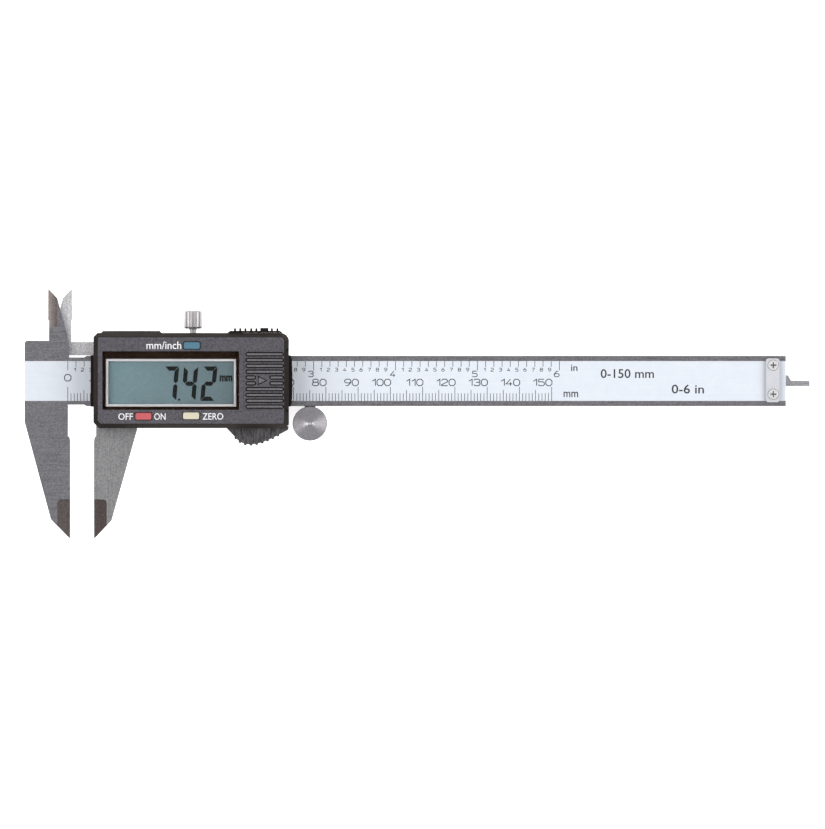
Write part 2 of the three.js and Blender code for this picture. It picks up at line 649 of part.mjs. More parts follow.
function lcdFrame() {
  const gap = 0.06;
  const bar = 0.8;
  const { left, right, bottom, top } = WINDOW;
  const z0 = LCD.front + GAP;
  const z1 = CASE.front - LENS.sunk - LENS.thickness - GAP;
  return cut(
    box(left + gap, right - gap, bottom + gap, top - gap, z0, z1),
    box(left + bar, right - bar, bottom + bar, top - bar, z0 - BEYOND, z1 + BEYOND),
  );
}

function lcdPanel() {
  return box(LCD.left, LCD.right, LCD.bottom, LCD.top, LCD.front - LCD.thickness, LCD.front);
}

function contactStrip(y) {
  const half = 0.6;
  return box(5, 43, y - half, y + half, BOARD_TOP + GAP, LCD.front - LCD.thickness - GAP);
}

function circuitBoard() {
  const sheet = box(PCB.left, PCB.right, PCB.bottom, PCB.top, LIP.front + GAP, BOARD_TOP);
  const room = 2.3;
  const openings = CASE_SCREWS.map(([x, y]) => box(
    x < 10 ? PCB.left - BEYOND : x - room,
    x > 50 ? PCB.right + BEYOND : x + room,
    y < 0 ? PCB.bottom - BEYOND : y - room,
    y < 0 ? y + room : PCB.top + BEYOND,
    0, BOARD_TOP + BEYOND,
  ));
  const holes = BOARD_SCREWS.map(([x, y]) => cylinder(x, y, 0, BOARD_TOP + BEYOND, BOARD_SCREW.clear,
    HOLE_SIDES));
  return cut(sheet, ...openings, ...holes);
}

function chipCover() {
  const radius = 4.6;
  const height = 1.3;
  const arc = Array.from({ length: 6 }, (_, i) => {
    const turn = (i / 5) * (Math.PI / 2);
    return [radius * Math.cos(turn), height * Math.sin(turn)];
  });
  arc[arc.length - 1] = [0, height];
  return turned([[0, 0], ...arc], 24);
}

function switchDome() {
  const { radius, height } = DOME;
  return turned([
    [0, 0], [radius, 0], [0.75 * radius, 0.7 * height], [0.35 * radius, height], [0, height],
  ]);
}

// A button's cap, flange and stem, with the top of its flange at Z = 0.
function button() {
  const halfWidth = BUTTON.width / 2;
  const halfHeight = BUTTON.height / 2;
  const cap = plate(roundedRectangle(-halfWidth, halfWidth, -halfHeight, halfHeight, BUTTON.corner),
    -SEATED, CASE.front + BUTTON.proud - BUTTON_SEAT);
  const margin = BUTTON.flangeMargin;
  const flange = box(-halfWidth - margin, halfWidth + margin, -halfHeight - margin, halfHeight + margin,
    -BUTTON.flange, 0);
  const stemEnd = BOARD_TOP + DOME.height + BUTTON.travel - BUTTON_SEAT;
  return join(cap, flange, cylinder(0, 0, stemEnd, SEATED - BUTTON.flange, BUTTON.stem, 12));
}

function batteryCell() {
  const { radius, height } = CELL;
  return turned([
    [0, 0], [4.5, 0], [4.7, 0.35], [5.3, 0.35], [radius, 0.8], [radius, height - 0.35],
    [radius - 0.35, height], [0, height],
  ], CELL_SIDES);
}

function negativeContact() {
  const bottom = BOARD_TOP + GAP;
  const discRadius = 4.2;
  const discHeight = 0.25;
  const tongueHalf = { x: 1, y: 2.5 };
  const disc = cylinder(CELL.x, CELL.y, bottom, bottom + discHeight, discRadius, CELL_SIDES);
  const tongue = box(CELL.x - tongueHalf.x, CELL.x + tongueHalf.x, CELL.y - tongueHalf.y,
    CELL.y + tongueHalf.y, bottom, CELL.bottom - GAP);
  return join(disc, tongue);
}

function positiveContact() {
  const { x, thickness, half, top } = CELL_BLADE;
  const bottom = BOARD_TOP + GAP;
  const footHalf = 1.2;
  const footReach = 0.15;
  const footHeight = 0.3;
  const blade = box(x, x + thickness, -half, half, bottom, top);
  const foot = box(x, x + thickness + footReach, -footHalf, footHalf, bottom, bottom + footHeight);
  return join(blade, foot);
}

function portContacts() {
  const bottom = BOARD_TOP + GAP;
  const { low, high, blockFront, pinHalf } = PORT;
  const block = box(PORT.left, PORT.right, low, high, bottom, blockFront);
  const firstX = (PORT.left + PORT.right - (PORT.pins - 1) * PORT.pitch) / 2;
  const pins = [];
  for (let i = 0; i < PORT.pins; i += 1) {
    const x = firstX + i * PORT.pitch;
    pins.push(box(x - pinHalf, x + pinHalf, high - PORT.pinDepth, high, blockFront - SEATED, PORT.pinFront));
  }
  return join(block, ...pins);
}

// ---------------------------------------------------------------- covers

function ribBar(x0, x1, y) {
  const half = RIBS.width / 2;
  return plate(roundedRectangle(x0, x1, y - half, y + half, half - 0.01), CASE.front - SEATED,
    CASE.front + RIBS.height, 2);
}

function batteryCover() {
  const { front } = CASE;
  const bottom = front - COVER.thickness;
  const slab = box(COVER.left, CASE.right + BEYOND, COVER.bottom + COVER.play, COVER.top - COVER.play,
    bottom, front).intersect(caseBlock());
  const rails = box(COVER.left, CASE.right - CASE.bevelWidth, COVER.bottom - COVER.rail + COVER.play,
    COVER.top + COVER.rail - COVER.play, bottom, bottom + COVER.railHeight);
  const middle = (COVER.bottom + COVER.top) / 2;
  const bars = [];
  for (let i = 0; i < RIBS.count; i += 1) {
    const y = middle + (i - (RIBS.count - 1) / 2) * RIBS.pitch;
    if (Math.abs(y - middle) < RIBS.pitch) {
      bars.push(ribBar(RIBS.left, COVER_ARROW.left - COVER_ARROW.room, y));
      bars.push(ribBar(COVER_ARROW.right + COVER_ARROW.room, RIBS.right, y));
    } else {
      bars.push(ribBar(RIBS.left, RIBS.right, y));
    }
  }
  const arrow = plate(polygon([
    [COVER_ARROW.left, middle - COVER_ARROW.half],
    [COVER_ARROW.right, middle],
    [COVER_ARROW.left, middle + COVER_ARROW.half],
  ]), front - SEATED, front + RIBS.height);
  return join(slab, rails, ...bars, arrow);
}

function dataPortCover() {
  const { left, right, back, front, thickness, ramp, lift } = PORT_COVER;
  const base = CASE.top + lift;
  const top = base + thickness;
  const lid = plate(polygon([
    [left, base], [right, base], [right - ramp, top], [left + ramp, top],
  ]), back, front);
  const { places, half: toothHalf, height, margin } = PORT_TEETH;
  const low = back + margin;
  const high = front - margin;
  const ridges = places.map((x) => box(x - toothHalf, x + toothHalf, top - SEATED, top + height, low, high));
  const arrow = box(PORT_ARROW.left, PORT_ARROW.right, top - SEATED, top + PORT_ARROW.height, low, high);
  const { z, half, flange, play } = PORT_TONGUE;
  const inner = CASE.top - PORT_TONGUE.depth;
  const neck = box(PORT_TONGUE.left, PORT_TONGUE.right, inner, base + thickness / 2, z - half, z + half);
  const tee = box(PORT_TONGUE.left, PORT_TONGUE.right, inner, CASE.top - CASE.wall / 2 - play, z - flange,
    z + flange);
  return join(lid, ...ridges, arrow, neck, tee);
}

// ---------------------------------------------------------------- rod, lock screw and roller

function depthRod() {
  const end = BEAM.right;
  const bar = box(ROD.left, end, ROD.bottom, ROD.top, ROD.back, ROD.front);
  const foot = box(ROD.left, ROD.footEnd, ROD.bottom, ROD.top, FRAME.plate + GAP, ROD.front);
  const stepTop = end - ROD.tipLength - ROD.stepRamp;
  const step = plate(polygon([
    [stepTop, ROD.top + BEYOND], [stepTop, ROD.top], [end - ROD.tipLength, ROD.tipTop],
    [end + BEYOND, ROD.tipTop], [end + BEYOND, ROD.top + BEYOND],
  ]), ROD.back - BEYOND, ROD.front + BEYOND);
  const holes = ROD_SCREWS.map((x) => cylinder(x, ROD_SCREW_Y, 0, ROD.front + BEYOND, ROD_SCREW.tapped,
    HOLE_SIDES));
  return cut(join(bar, foot), step, ...holes);
}

function lockScrew() {
  const lobes = 14;
  const outline = new THREE.Shape();
  for (let i = 0; i < lobes * 2; i += 1) {
    const angle = (i / (lobes * 2)) * Math.PI * 2;
    const radius = i % 2 ? LOCK.head - 0.28 : LOCK.head;
    const [x, y] = [radius * Math.cos(angle), radius * Math.sin(angle)];
    if (i === 0) outline.moveTo(x, y);
    else outline.lineTo(x, y);
  }
  const chamfer = 0.4;
  const envelope = turned([
    [0, LOCK.neckEnd], [LOCK.head - chamfer, LOCK.neckEnd], [LOCK.head, LOCK.neckEnd + chamfer],
    [LOCK.head, LOCK.headEnd - chamfer], [LOCK.head - chamfer, LOCK.headEnd], [0, LOCK.headEnd],
  ], 28);
  const head = plate(outline, LOCK.neckEnd, LOCK.headEnd).intersect(envelope);
  return join(head, cylinder(0, 0, LOCK.tip, LOCK.neckEnd + 0.2, LOCK.shank));
}

function thumbRoller() {
  const { radius, back, front, play, chamfer, bore, sink, sinkDepth } = ROLLER;
  const track = radius - play;
  const groove = { depth: 0.35, low: 3.1, lowFloor: 3.3, highFloor: 3.6, high: 3.8 };
  return turned([
    [bore, back], [track - chamfer, back], [track, back + chamfer],
    [track, groove.low], [track - groove.depth, groove.lowFloor], [track - groove.depth, groove.highFloor],
    [track, groove.high], [track, front - chamfer], [track - chamfer, front], [sink, front],
    [sink, front - sinkDepth], [bore, front - sinkDepth], [bore, back],
  ], 40);
}

function rollerAxle() {
  const { radius, flange, flangeTop, back, head, headHeight, crown } = AXLE;
  const top = ROLLER.front - ROLLER.sinkDepth + GAP;
  return turned([
    [0, back], [flange, back], [flange, flangeTop], [radius, flangeTop + 0.15], [radius, top], [head, top],
    [head, top + headHeight], [0.5, top + crown], [0, top + headHeight],
  ]);
}

function rollerBracket() {
  const { left, step, thickness, bottom, arm, top } = BRACKET;
  const shape = new THREE.Shape();
  shape.moveTo(left, bottom);
  shape.lineTo(step, bottom);
  shape.lineTo(step, arm);
  shape.lineTo(ROLLER.x - 2.2, arm);
  shape.lineTo(ROLLER.x - 1.5, arm - 0.7);
  shape.lineTo(ROLLER.x - 2.6, arm - 2.2);
  shape.absarc(ROLLER.x, ROLLER.y, 3.4, Math.PI * 0.78, Math.PI * 2.22);
  shape.lineTo(ROLLER.x + 2.6, arm - 2.2);
  shape.lineTo(ROLLER.x + 1.5, arm - 0.7);
  shape.lineTo(ROLLER.x + 2.2, arm);
  shape.lineTo(ROLLER.x + 2.2, top);
  shape.lineTo(left, top);
  const sheet = plate(shape, 0, thickness, 14);
  const beyond = thickness + BEYOND;
  const axleHole = cylinder(ROLLER.x, ROLLER.y, -BEYOND, beyond, AXLE.hole);
  const axleSink = cylinder(ROLLER.x, ROLLER.y, -BEYOND, AXLE.flangeTop + 0.17, AXLE.flange + 0.15);
  const screwHoles = BRACKET_SCREWS.flatMap((x) => [
    cylinder(x, BRACKET_SCREW_Y, -BEYOND, beyond, BRACKET_SCREW.clear, HOLE_SIDES),
    cylinder(x, BRACKET_SCREW_Y, -BEYOND, BRACKET_SCREW.sinkDepth, BRACKET_SCREW.sink),
  ]);
  return cut(sheet, axleHole, axleSink, ...screwHoles);
}

function backLabel() {
  const { left, right, bottom, top, corner, back, pocket } = BACK_LABEL;
  return plate(roundedRectangle(left, right, bottom, top, corner), back, pocket - GAP);
}

// ---------------------------------------------------------------- assembly

const object = new THREE.Group();
const slider = new THREE.Group();
slider.position.x = OPENING;
object.add(slider);

function place(group, name, body, finish, x = 0, y = 0, z = 0) {
  const made = mesh(name, body, finish);
  made.position.set(x, y, z);
  group.add(made);
  return made;
}

place(object, 'beam', beam(), FINISHES.steel);
place(object, 'scale_board', scaleBoard(), FINISHES.fibreglass);
place(object, 'scale_label', scaleLabel(), FINISHES.label);
place(object, 'end_stop_plate', endStopPlate(), FINISHES.brightSteel);
END_SCREWS_Y.forEach((y, i) => {
  const body = screw(END_SCREW, END_SCREW_SEAT, END_SCREW.end);
  place(object, `end_stop_screw_${i + 1}`, body, FINISHES.brightSteel, END_SCREW_X, y);
});

place(slider, 'slider_frame', sliderFrame(), FINISHES.steel);
place(slider, 'gib_strip', gibStrip(), FINISHES.brass);
SET_SCREWS.forEach((x, i) => {
  const name = `gib_set_screw_${i + 1}`;
  const made = place(slider, name, gibSetScrew(), FINISHES.epoxy, x, GIB.high + GAP, LOCK.z);
  made.rotation.x = -Math.PI / 2;
});
place(slider, 'front_case', frontCase(), FINISHES.blackPlastic);
place(slider, 'window_lens', windowLens(), FINISHES.clear);
place(slider, 'lcd_frame', lcdFrame(), FINISHES.silver);
place(slider, 'lcd_panel', lcdPanel(), FINISHES.displayGlass);
place(slider, 'contact_strip_upper', contactStrip(7.1), FINISHES.rubber);
place(slider, 'contact_strip_lower', contactStrip(-7.4), FINISHES.rubber);
place(slider, 'circuit_board', circuitBoard(), FINISHES.fibreglass);
place(slider, 'chip_cover', chipCover(), FINISHES.epoxy, 24, 0, BOARD_TOP + GAP);
place(slider, 'port_contacts', portContacts(), FINISHES.gold);
place(slider, 'battery_cell', batteryCell(), FINISHES.brightSteel, CELL.x, CELL.y, CELL.bottom);
place(slider, 'battery_contact_minus', negativeContact(), FINISHES.brightSteel);
place(slider, 'battery_contact_plus', positiveContact(), FINISHES.brightSteel);
place(slider, 'back_label', backLabel(), FINISHES.paper);
place(slider, 'battery_cover', batteryCover(), FINISHES.blackPlastic);
place(slider, 'data_port_cover', dataPortCover(), FINISHES.blackPlastic);

BOARD_SCREWS.forEach(([x, y], i) => {
  const body = screw(BOARD_SCREW, BOARD_TOP + GAP, BOARD_SCREW.end);
  place(slider, `board_screw_${i + 1}`, body, FINISHES.brightSteel, x, y);
});
CASE_SCREWS.forEach(([x, y], i) => {
  const body = screw(CASE_SCREW, CASE_SCREW.sinkDepth - GAP, CASE_SCREW.end);
  place(slider, `case_screw_${i + 1}`, body, FINISHES.brightSteel, x, y);
});
ROD_SCREWS.forEach((x, i) => {
  const body = screw(ROD_SCREW, ROD_SCREW.sinkDepth - GAP, ROD.front - 0.1);
  place(slider, `rod_screw_${i + 1}`, body, FINISHES.brightSteel, x, ROD_SCREW_Y);
});
BRACKET_SCREWS.forEach((x, i) => {
  const body = screw(BRACKET_SCREW, BRACKET_SCREW.sinkDepth - GAP, BRACKET_SCREW.end);
  place(slider, `bracket_screw_${i + 1}`, body, FINISHES.brightSteel, x, BRACKET_SCREW_Y);
});

Object.entries(BUTTONS).forEach(([name, { x, y, colour }]) => {
  place(slider, `${name}_switch_dome`, switchDome(), FINISHES.brightSteel, x, y, BOARD_TOP + GAP);
  const finish = { color: colour, roughness: 0.5, metalness: 0 };
  place(slider, `${name}_button`, button(), finish, x, y, BUTTON_SEAT);
});

place(slider, 'depth_rod', depthRod(), FINISHES.steel);
place(slider, 'roller_bracket', rollerBracket(), FINISHES.steel);
place(slider, 'roller_axle', rollerAxle(), FINISHES.steel, ROLLER.x, ROLLER.y);
place(slider, 'thumb_roller', thumbRoller(), FINISHES.brightSteel, ROLLER.x, ROLLER.y);
const lock = place(slider, 'lock_screw', lockScrew(), FINISHES.brightSteel, LOCK.x, 0, LOCK.z);
lock.rotation.x = -Math.PI / 2;

const tipRight = BEAM.right + OPENING;
object.position.set(-(BEAM.left + tipRight) / 2, -(OUTSIDE_TIP + INSIDE_TIP) / 2, 0);

export default object;
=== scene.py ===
import json
import math

import bmesh
import bpy
from mathutils import Matrix, Vector

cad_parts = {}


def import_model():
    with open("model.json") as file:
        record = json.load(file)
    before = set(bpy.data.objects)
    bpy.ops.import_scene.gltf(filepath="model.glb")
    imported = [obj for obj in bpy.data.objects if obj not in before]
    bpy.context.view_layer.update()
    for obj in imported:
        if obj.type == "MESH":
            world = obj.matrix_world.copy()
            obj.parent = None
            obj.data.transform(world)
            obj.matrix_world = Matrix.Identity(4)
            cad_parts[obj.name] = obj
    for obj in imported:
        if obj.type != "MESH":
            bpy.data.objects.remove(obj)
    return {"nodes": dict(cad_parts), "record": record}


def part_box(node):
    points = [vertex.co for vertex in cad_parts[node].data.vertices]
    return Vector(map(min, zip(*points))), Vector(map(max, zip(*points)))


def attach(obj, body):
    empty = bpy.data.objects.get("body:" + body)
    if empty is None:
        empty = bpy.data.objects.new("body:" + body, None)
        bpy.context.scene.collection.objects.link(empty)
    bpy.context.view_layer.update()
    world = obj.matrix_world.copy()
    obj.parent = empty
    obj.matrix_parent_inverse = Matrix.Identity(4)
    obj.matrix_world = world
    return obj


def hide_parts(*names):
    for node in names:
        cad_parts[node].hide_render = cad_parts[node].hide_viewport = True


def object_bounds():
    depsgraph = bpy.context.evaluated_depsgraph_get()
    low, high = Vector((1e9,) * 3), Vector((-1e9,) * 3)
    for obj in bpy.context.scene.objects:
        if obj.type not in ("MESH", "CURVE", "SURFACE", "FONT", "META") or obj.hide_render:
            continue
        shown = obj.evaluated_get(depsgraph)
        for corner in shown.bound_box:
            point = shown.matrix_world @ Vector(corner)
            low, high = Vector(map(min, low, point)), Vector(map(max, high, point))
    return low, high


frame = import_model()
cad_low, cad_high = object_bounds()
scene = bpy.context.scene

# ---------------------------------------------------------------- places read from the frame

MM = 0.001
NODES = frame["nodes"]
MOUNTS = {m["name"]: Vector(m["pos_m"]) for m in frame["record"]["mounts"]}
FIXED_FACE = MOUNTS["fixed_jaw_face"].x
MOVING_FACE = MOUNTS["moving_jaw_face"].x
LABEL_LOW, LABEL_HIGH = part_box("scale_label")
BEAM_MIDDLE = (LABEL_LOW.y + LABEL_HIGH.y) / 2
LCD_LOW, LCD_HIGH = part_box("lcd_panel")
COVER_LOW, COVER_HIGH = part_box("battery_cover")
LENS_LOW, LENS_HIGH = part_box("window_lens")
CASE_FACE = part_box("front_case")[1].z

# ---------------------------------------------------------------- driving dimensions, metres

EDGE_ANGLE = math.radians(38)
SOFTENED_ANGLE = math.radians(35)
SHORTEST_SOFTENED = 1.2  # of the rounding's width
FLAT_ANGLE = math.radians(0.5)
WELD = 0.001 * MM
INK_THICKNESS = 0.02 * MM

SCALE_ZERO = -0.70 * MM  # the printed zero stands a little outside the fixed face
SCALE_LENGTH = 150
SCALE_INCHES = 6
TENTH_INCH = 2.54 * MM
TICK_MARGIN = 0.04 * MM
TICK_WIDTH = 0.17 * MM
MM_TICKS = {10: 4.37 * MM, 5: 3.4 * MM, 1: 2.4 * MM}
INCH_TICKS = {"whole": 2.9 * MM, "tenth": 1.8 * MM}
MM_DIGIT = {"width": 1.9 * MM, "height": 2.0 * MM, "gap": 0.43 * MM, "low": -1.46 * MM, "line": 0.26 * MM}
INCH_DIGIT = {"width": 1.5 * MM, "height": 1.75 * MM, "gap": 0.3 * MM, "low": 1.3 * MM, "line": 0.24 * MM}
TENTH_DIGIT = {"width": 0.82 * MM, "height": 1.0 * MM, "gap": 0.2 * MM, "low": 3.0 * MM, "line": 0.17 * MM}
ZERO_DIGIT = {"width": 2.0 * MM, "height": 2.0 * MM, "gap": 0, "low": 0.0 * MM, "line": 0.27 * MM}

READING = {"width": 4.42 * MM, "height": 10.67 * MM, "pitch": 5.93 * MM, "bar": 1.32 * MM, "gap": 0.1 * MM,
           "slant": 0.09, "left": 21.17 * MM, "low": -6.18 * MM}

RIB = {"half": 0.3 * MM, "groove": 0.7 * MM, "depth": 0.4 * MM, "height": 0.12 * MM, "pitch": 1.8 * MM,
       "count": 10, "left": 47.0 * MM, "right": 59.0 * MM}
ARROW = {"left": 50.9 * MM, "right": 53.9 * MM, "half": 1.5 * MM, "margin": 0.5 * MM,
         "tail_inset": 0.25 * MM, "tip_inset": 0.6 * MM, "side_inset": 0.45 * MM}
BUTTON_GAP = 0.12 * MM  # added to the CAD clearance round each button cap
BUTTON_CAP = {"half_x": 2.65 * MM, "half_y": 1.2 * MM, "sunk": 2.3 * MM}
ROLLER = {"teeth": 72, "knurl": 0.09 * MM, "chamfer": 0.2 * MM, "hole": 0.68 * MM, "hole_rim": 0.12 * MM,
          "rings": (0.95 * MM, 2.6 * MM, 4.3 * MM)}
LOCK = {"flutes": 16, "flute": 0.3 * MM, "chamfer": 0.45 * MM, "shank": 0.95 * MM, "tip": 0.25 * MM,
        "step_low": 0.5 * MM, "step_high": 0.4 * MM, "dish": 0.08 * MM}
DOT = {"gap": 0.55 * MM, "length": 0.72 * MM, "half": 0.36 * MM}
GROUND_TILT = (0.9, 0.992)  # how upright a face of a jaw's thinned tip stands
SKIN = 0.05 * MM  # how near a piece's top a face counts as the top
ON_RIM = 0.01 * MM  # a turned point this near the full radius is knurled or fluted


def from_moving(u):
    """A place along the slider, measured from the moving face in millimetres, in the row frame."""
    return MOVING_FACE + u * MM


def from_fixed(x):
    """A place along the beam, measured from the fixed face in millimetres, in the row frame."""
    return FIXED_FACE + x * MM


def across(y):
    """A place across the beam, measured from its centreline in millimetres, in the row frame."""
    return BEAM_MIDDLE + y * MM


# ---------------------------------------------------------------- node helpers

def material(name):
    made = bpy.data.materials.new(name)
    made.use_nodes = True
    nodes, links = made.node_tree.nodes, made.node_tree.links
    shader = nodes["Principled BSDF"]
    return made, nodes, links, shader


def coordinates(nodes, links, scale=(1, 1, 1), turn=(0, 0, 0)):
    where = nodes.new("ShaderNodeTexCoord")
    mapping = nodes.new("ShaderNodeMapping")
    mapping.inputs["Scale"].default_value = scale
    mapping.inputs["Rotation"].default_value = turn
    links.new(where.outputs["Object"], mapping.inputs["Vector"])
    return mapping.outputs["Vector"]


def noise(nodes, links, vector, scale, detail=3, roughness=0.55):
    texture = nodes.new("ShaderNodeTexNoise")
    texture.inputs["Scale"].default_value = scale
    texture.inputs["Detail"].default_value = detail
    texture.inputs["Roughness"].default_value = roughness
    links.new(vector, texture.inputs["Vector"])
    return texture.outputs["Fac"]


def ramp(nodes, links, value, stops):
    """A colour ramp; stops are (position, grey or (r, g, b))."""
    made = nodes.new("ShaderNodeValToRGB")
    colours = made.color_ramp.elements
    while len(colours) < len(stops):
        colours.new(0.5)
    for element, (position, colour) in zip(colours, stops):
        element.position = position
        rgb = (colour,) * 3 if isinstance(colour, (int, float)) else colour
        element.color = (*rgb, 1)
    links.new(value, made.inputs["Fac"])
    return made.outputs["Color"]


def mix(nodes, links, factor, a, b, blend="MIX"):
    """Mixes two colours; each is an output socket or an (r, g, b)."""
    made = nodes.new("ShaderNodeMix")
    made.data_type = "RGBA"
    made.blend_type = blend
    for value, socket in ((factor, made.inputs[0]), (a, made.inputs[6]), (b, made.inputs[7])):
        if hasattr(value, "is_linked"):
            links.new(value, socket)
        elif isinstance(value, (int, float)):
            socket.default_value = value
        else:
            socket.default_value = (*value, 1)
    return made.outputs[2]


def bump(nodes, links, shader, height, strength, distance):
    made = nodes.new("ShaderNodeBump")
    made.inputs["Strength"].default_value = strength
    made.inputs["Distance"].default_value = distance
    links.new(height, made.inputs["Height"])
    links.new(made.outputs["Normal"], shader.inputs["Normal"])


def position(nodes, links, axis, start, end):
    """0 before start and 1 after end along an axis of the row frame."""
    where = nodes.new("ShaderNodeTexCoord")
    split = nodes.new("ShaderNodeSeparateXYZ")
    links.new(where.outputs["Object"], split.inputs[0])
    spread = nodes.new("ShaderNodeMapRange")
    spread.inputs["From Min"].default_value = start
    spread.inputs["From Max"].default_value = end
    spread.interpolation_type = "SMOOTHSTEP"
    links.new(split.outputs[axis], spread.inputs["Value"])
    return spread.outputs["Result"]


# ---------------------------------------------------------------- materials

def steel(name, middle, rough, spread=0.42, grain=(40, 900, 900), painted_shade=None):
    """Satin ground steel: fine lines one way, under an even mottle and faint clouding. An optional ramp along
    one axis darkens one side of the part as painted shade.
    """
    made, nodes, links, shader = material(name)
    shader.inputs["Metallic"].default_value = 1.0
    shader.inputs["Roughness"].default_value = rough
    low = tuple(c * (1 - spread) for c in middle)
    high = tuple(min(1, c * (1 + spread)) for c in middle)
    lines = noise(nodes, links, coordinates(nodes, links, grain), 3.2, 4, 0.6)
    mottle = noise(nodes, links, coordinates(nodes, links), 2300, 3, 0.7)
    clouds = noise(nodes, links, coordinates(nodes, links), 60, 2)
    fine = ramp(nodes, links, lines, [(0.3, low), (0.7, high)])
    spotted = ramp(nodes, links, mottle, [(0.36, low), (0.64, high)])
    cloudy = ramp(nodes, links, clouds, [(0.25, 0.93), (0.75, 1.0)])
    colour = mix(nodes, links, 1.0, mix(nodes, links, 0.6, fine, spotted), cloudy, "MULTIPLY")
    # painted shade: a ramp along one axis darkens the steel towards one side
    if painted_shade:
        axis, start, end, darker = painted_shade
        place = position(nodes, links, axis, start, end)
        shade = ramp(nodes, links, place, [(0, darker), (1, 1.0)])
        colour = mix(nodes, links, 1.0, colour, shade, "MULTIPLY")
    links.new(colour, shader.inputs["Base Color"])
    bump(nodes, links, shader, lines, 0.2, 0.00002)
    return made


def turned_steel(name):
    """Lathe-turned steel: the tool marks run round the axis, so the gloss fans out."""
    made, nodes, links, shader = material(name)
    shader.inputs["Metallic"].default_value = 1.0
    shader.inputs["Roughness"].default_value = 0.34
    shader.inputs["Anisotropic"].default_value = 0.82
    shader.inputs["Anisotropic Rotation"].default_value = 0.25
    tangent = nodes.new("ShaderNodeTangent")
    tangent.direction_type = "RADIAL"
    tangent.axis = "Z"
    links.new(tangent.outputs["Tangent"], shader.inputs["Tangent"])
    grain = noise(nodes, links, coordinates(nodes, links), 2200, 3)
    links.new(ramp(nodes, links, grain, [(0.3, (0.36, 0.34, 0.37)), (0.7, (0.56, 0.54, 0.58))]),
              shader.inputs["Base Color"])
    return made


def speckled_plastic(name, low, high, size=0.00026, striped=False):
    """Black plastic with a spark-eroded face: fine grains that stand out lighter."""
    made, nodes, links, shader = material(name)
    shader.inputs["Specular IOR Level"].default_value = 0.2
    vector = coordinates(nodes, links, (1, 0.12, 1) if striped else (1, 1, 1))
    grains = noise(nodes, links, vector, 1 / size, 2, 0.6)
    coarse = noise(nodes, links, coordinates(nodes, links), 0.35 / size, 2, 0.5)
    both = mix(nodes, links, 0.3, grains, coarse)
    between = tuple((a + b) / 2 for a, b in zip(low, high))
    colour = ramp(nodes, links, both, [(0.36, low), (0.5, between), (0.66, high)])
    links.new(colour, shader.inputs["Base Color"])
    links.new(ramp(nodes, links, grains, [(0.3, 0.62), (0.7, 0.45)]), shader.inputs["Roughness"])
    bump(nodes, links, shader, grains, 0.5, 0.00006)
    return made


def smooth_plastic(name, colour, rough=0.42, specular=0.25, wear=1.25):
    """Moulded plastic: faint flow marks and a fine even grain."""
    made, nodes, links, shader = material(name)
    shader.inputs["Specular IOR Level"].default_value = specular
    flow = noise(nodes, links, coordinates(nodes, links, (1, 1, 2)), 120, 3)
    grain = noise(nodes, links, coordinates(nodes, links), 4200, 2)
    lighter = tuple(min(1, c * wear) for c in colour)
    links.new(ramp(nodes, links, flow, [(0.3, colour), (0.7, lighter)]), shader.inputs["Base Color"])
    uneven = ramp(nodes, links, grain, [(0.3, rough - 0.06), (0.7, rough + 0.06)])
    links.new(uneven, shader.inputs["Roughness"])
    bump(nodes, links, shader, grain, 0.15, 0.00002)
    return made


def printed_film(name, cool, warm, rough=0.38):
    """Satin metal-look film: a pale ground with very fine lengthwise streaks."""
    made, nodes, links, shader = material(name)
    shader.inputs["Roughness"].default_value = rough
    streaks = noise(nodes, links, coordinates(nodes, links, (25, 700, 700)), 3, 3)
    patches = noise(nodes, links, coordinates(nodes, links), 420, 3)
    tone = mix(nodes, links, 0.5, streaks, patches)
    links.new(ramp(nodes, links, tone, [(0.3, cool), (0.7, warm)]), shader.inputs["Base Color"])
    bump(nodes, links, shader, streaks, 0.08, 0.00001)
    return made


def ink(name, colour, rough=0.55, specular=0.3):
    """Screen-printed ink: slightly uneven cover."""
    made, nodes, links, shader = material(name)
    shader.inputs["Roughness"].default_value = rough
    shader.inputs["Specular IOR Level"].default_value = specular
    cover = noise(nodes, links, coordinates(nodes, links), 3000, 2)
    lighter = tuple(min(1, c * 1.35) for c in colour)
    links.new(ramp(nodes, links, cover, [(0.35, colour), (0.75, lighter)]), shader.inputs["Base Color"])
    return made


def liquid_crystal(name):
    """Grey-green display: a ground a little darker to the right, under a polariser's fine grain."""
    made, nodes, links, shader = material(name)
    shader.inputs["Roughness"].default_value = 0.32
    place = position(nodes, links, "X", LCD_LOW.x, LCD_HIGH.x)
    ground = ramp(nodes, links, place, [(0, (0.088, 0.138, 0.152)), (1, (0.068, 0.098, 0.108))])
    grain = noise(nodes, links, coordinates(nodes, links), 1500, 3)
    shade = ramp(nodes, links, grain, [(0.3, 0.9), (0.7, 1.08)])
    links.new(mix(nodes, links, 1.0, ground, shade, "MULTIPLY"), shader.inputs["Base Color"])
    return made


def clear_plastic(name):
    """Clear window: lamps shine through it, and it has faint wipe marks."""
    made, nodes, links, shader = material(name)
    shader.inputs["Transmission Weight"].default_value = 1.0
    shader.inputs["IOR"].default_value = 1.08
    shader.inputs["Base Color"].default_value = (0.97, 0.98, 0.98, 1)
    wipes = noise(nodes, links, coordinates(nodes, links, (30, 300, 30)), 4, 3)
    links.new(ramp(nodes, links, wipes, [(0.3, 0.02), (0.8, 0.07)]), shader.inputs["Roughness"])
    through = nodes.new("ShaderNodeBsdfTransparent")
    ray = nodes.new("ShaderNodeLightPath")
    pick = nodes.new("ShaderNodeMixShader")
    links.new(ray.outputs["Is Shadow Ray"], pick.inputs[0])
    links.new(shader.outputs[0], pick.inputs[1])
    links.new(through.outputs[0], pick.inputs[2])
    links.new(pick.outputs[0], nodes["Material Output"].inputs["Surface"])
    return made


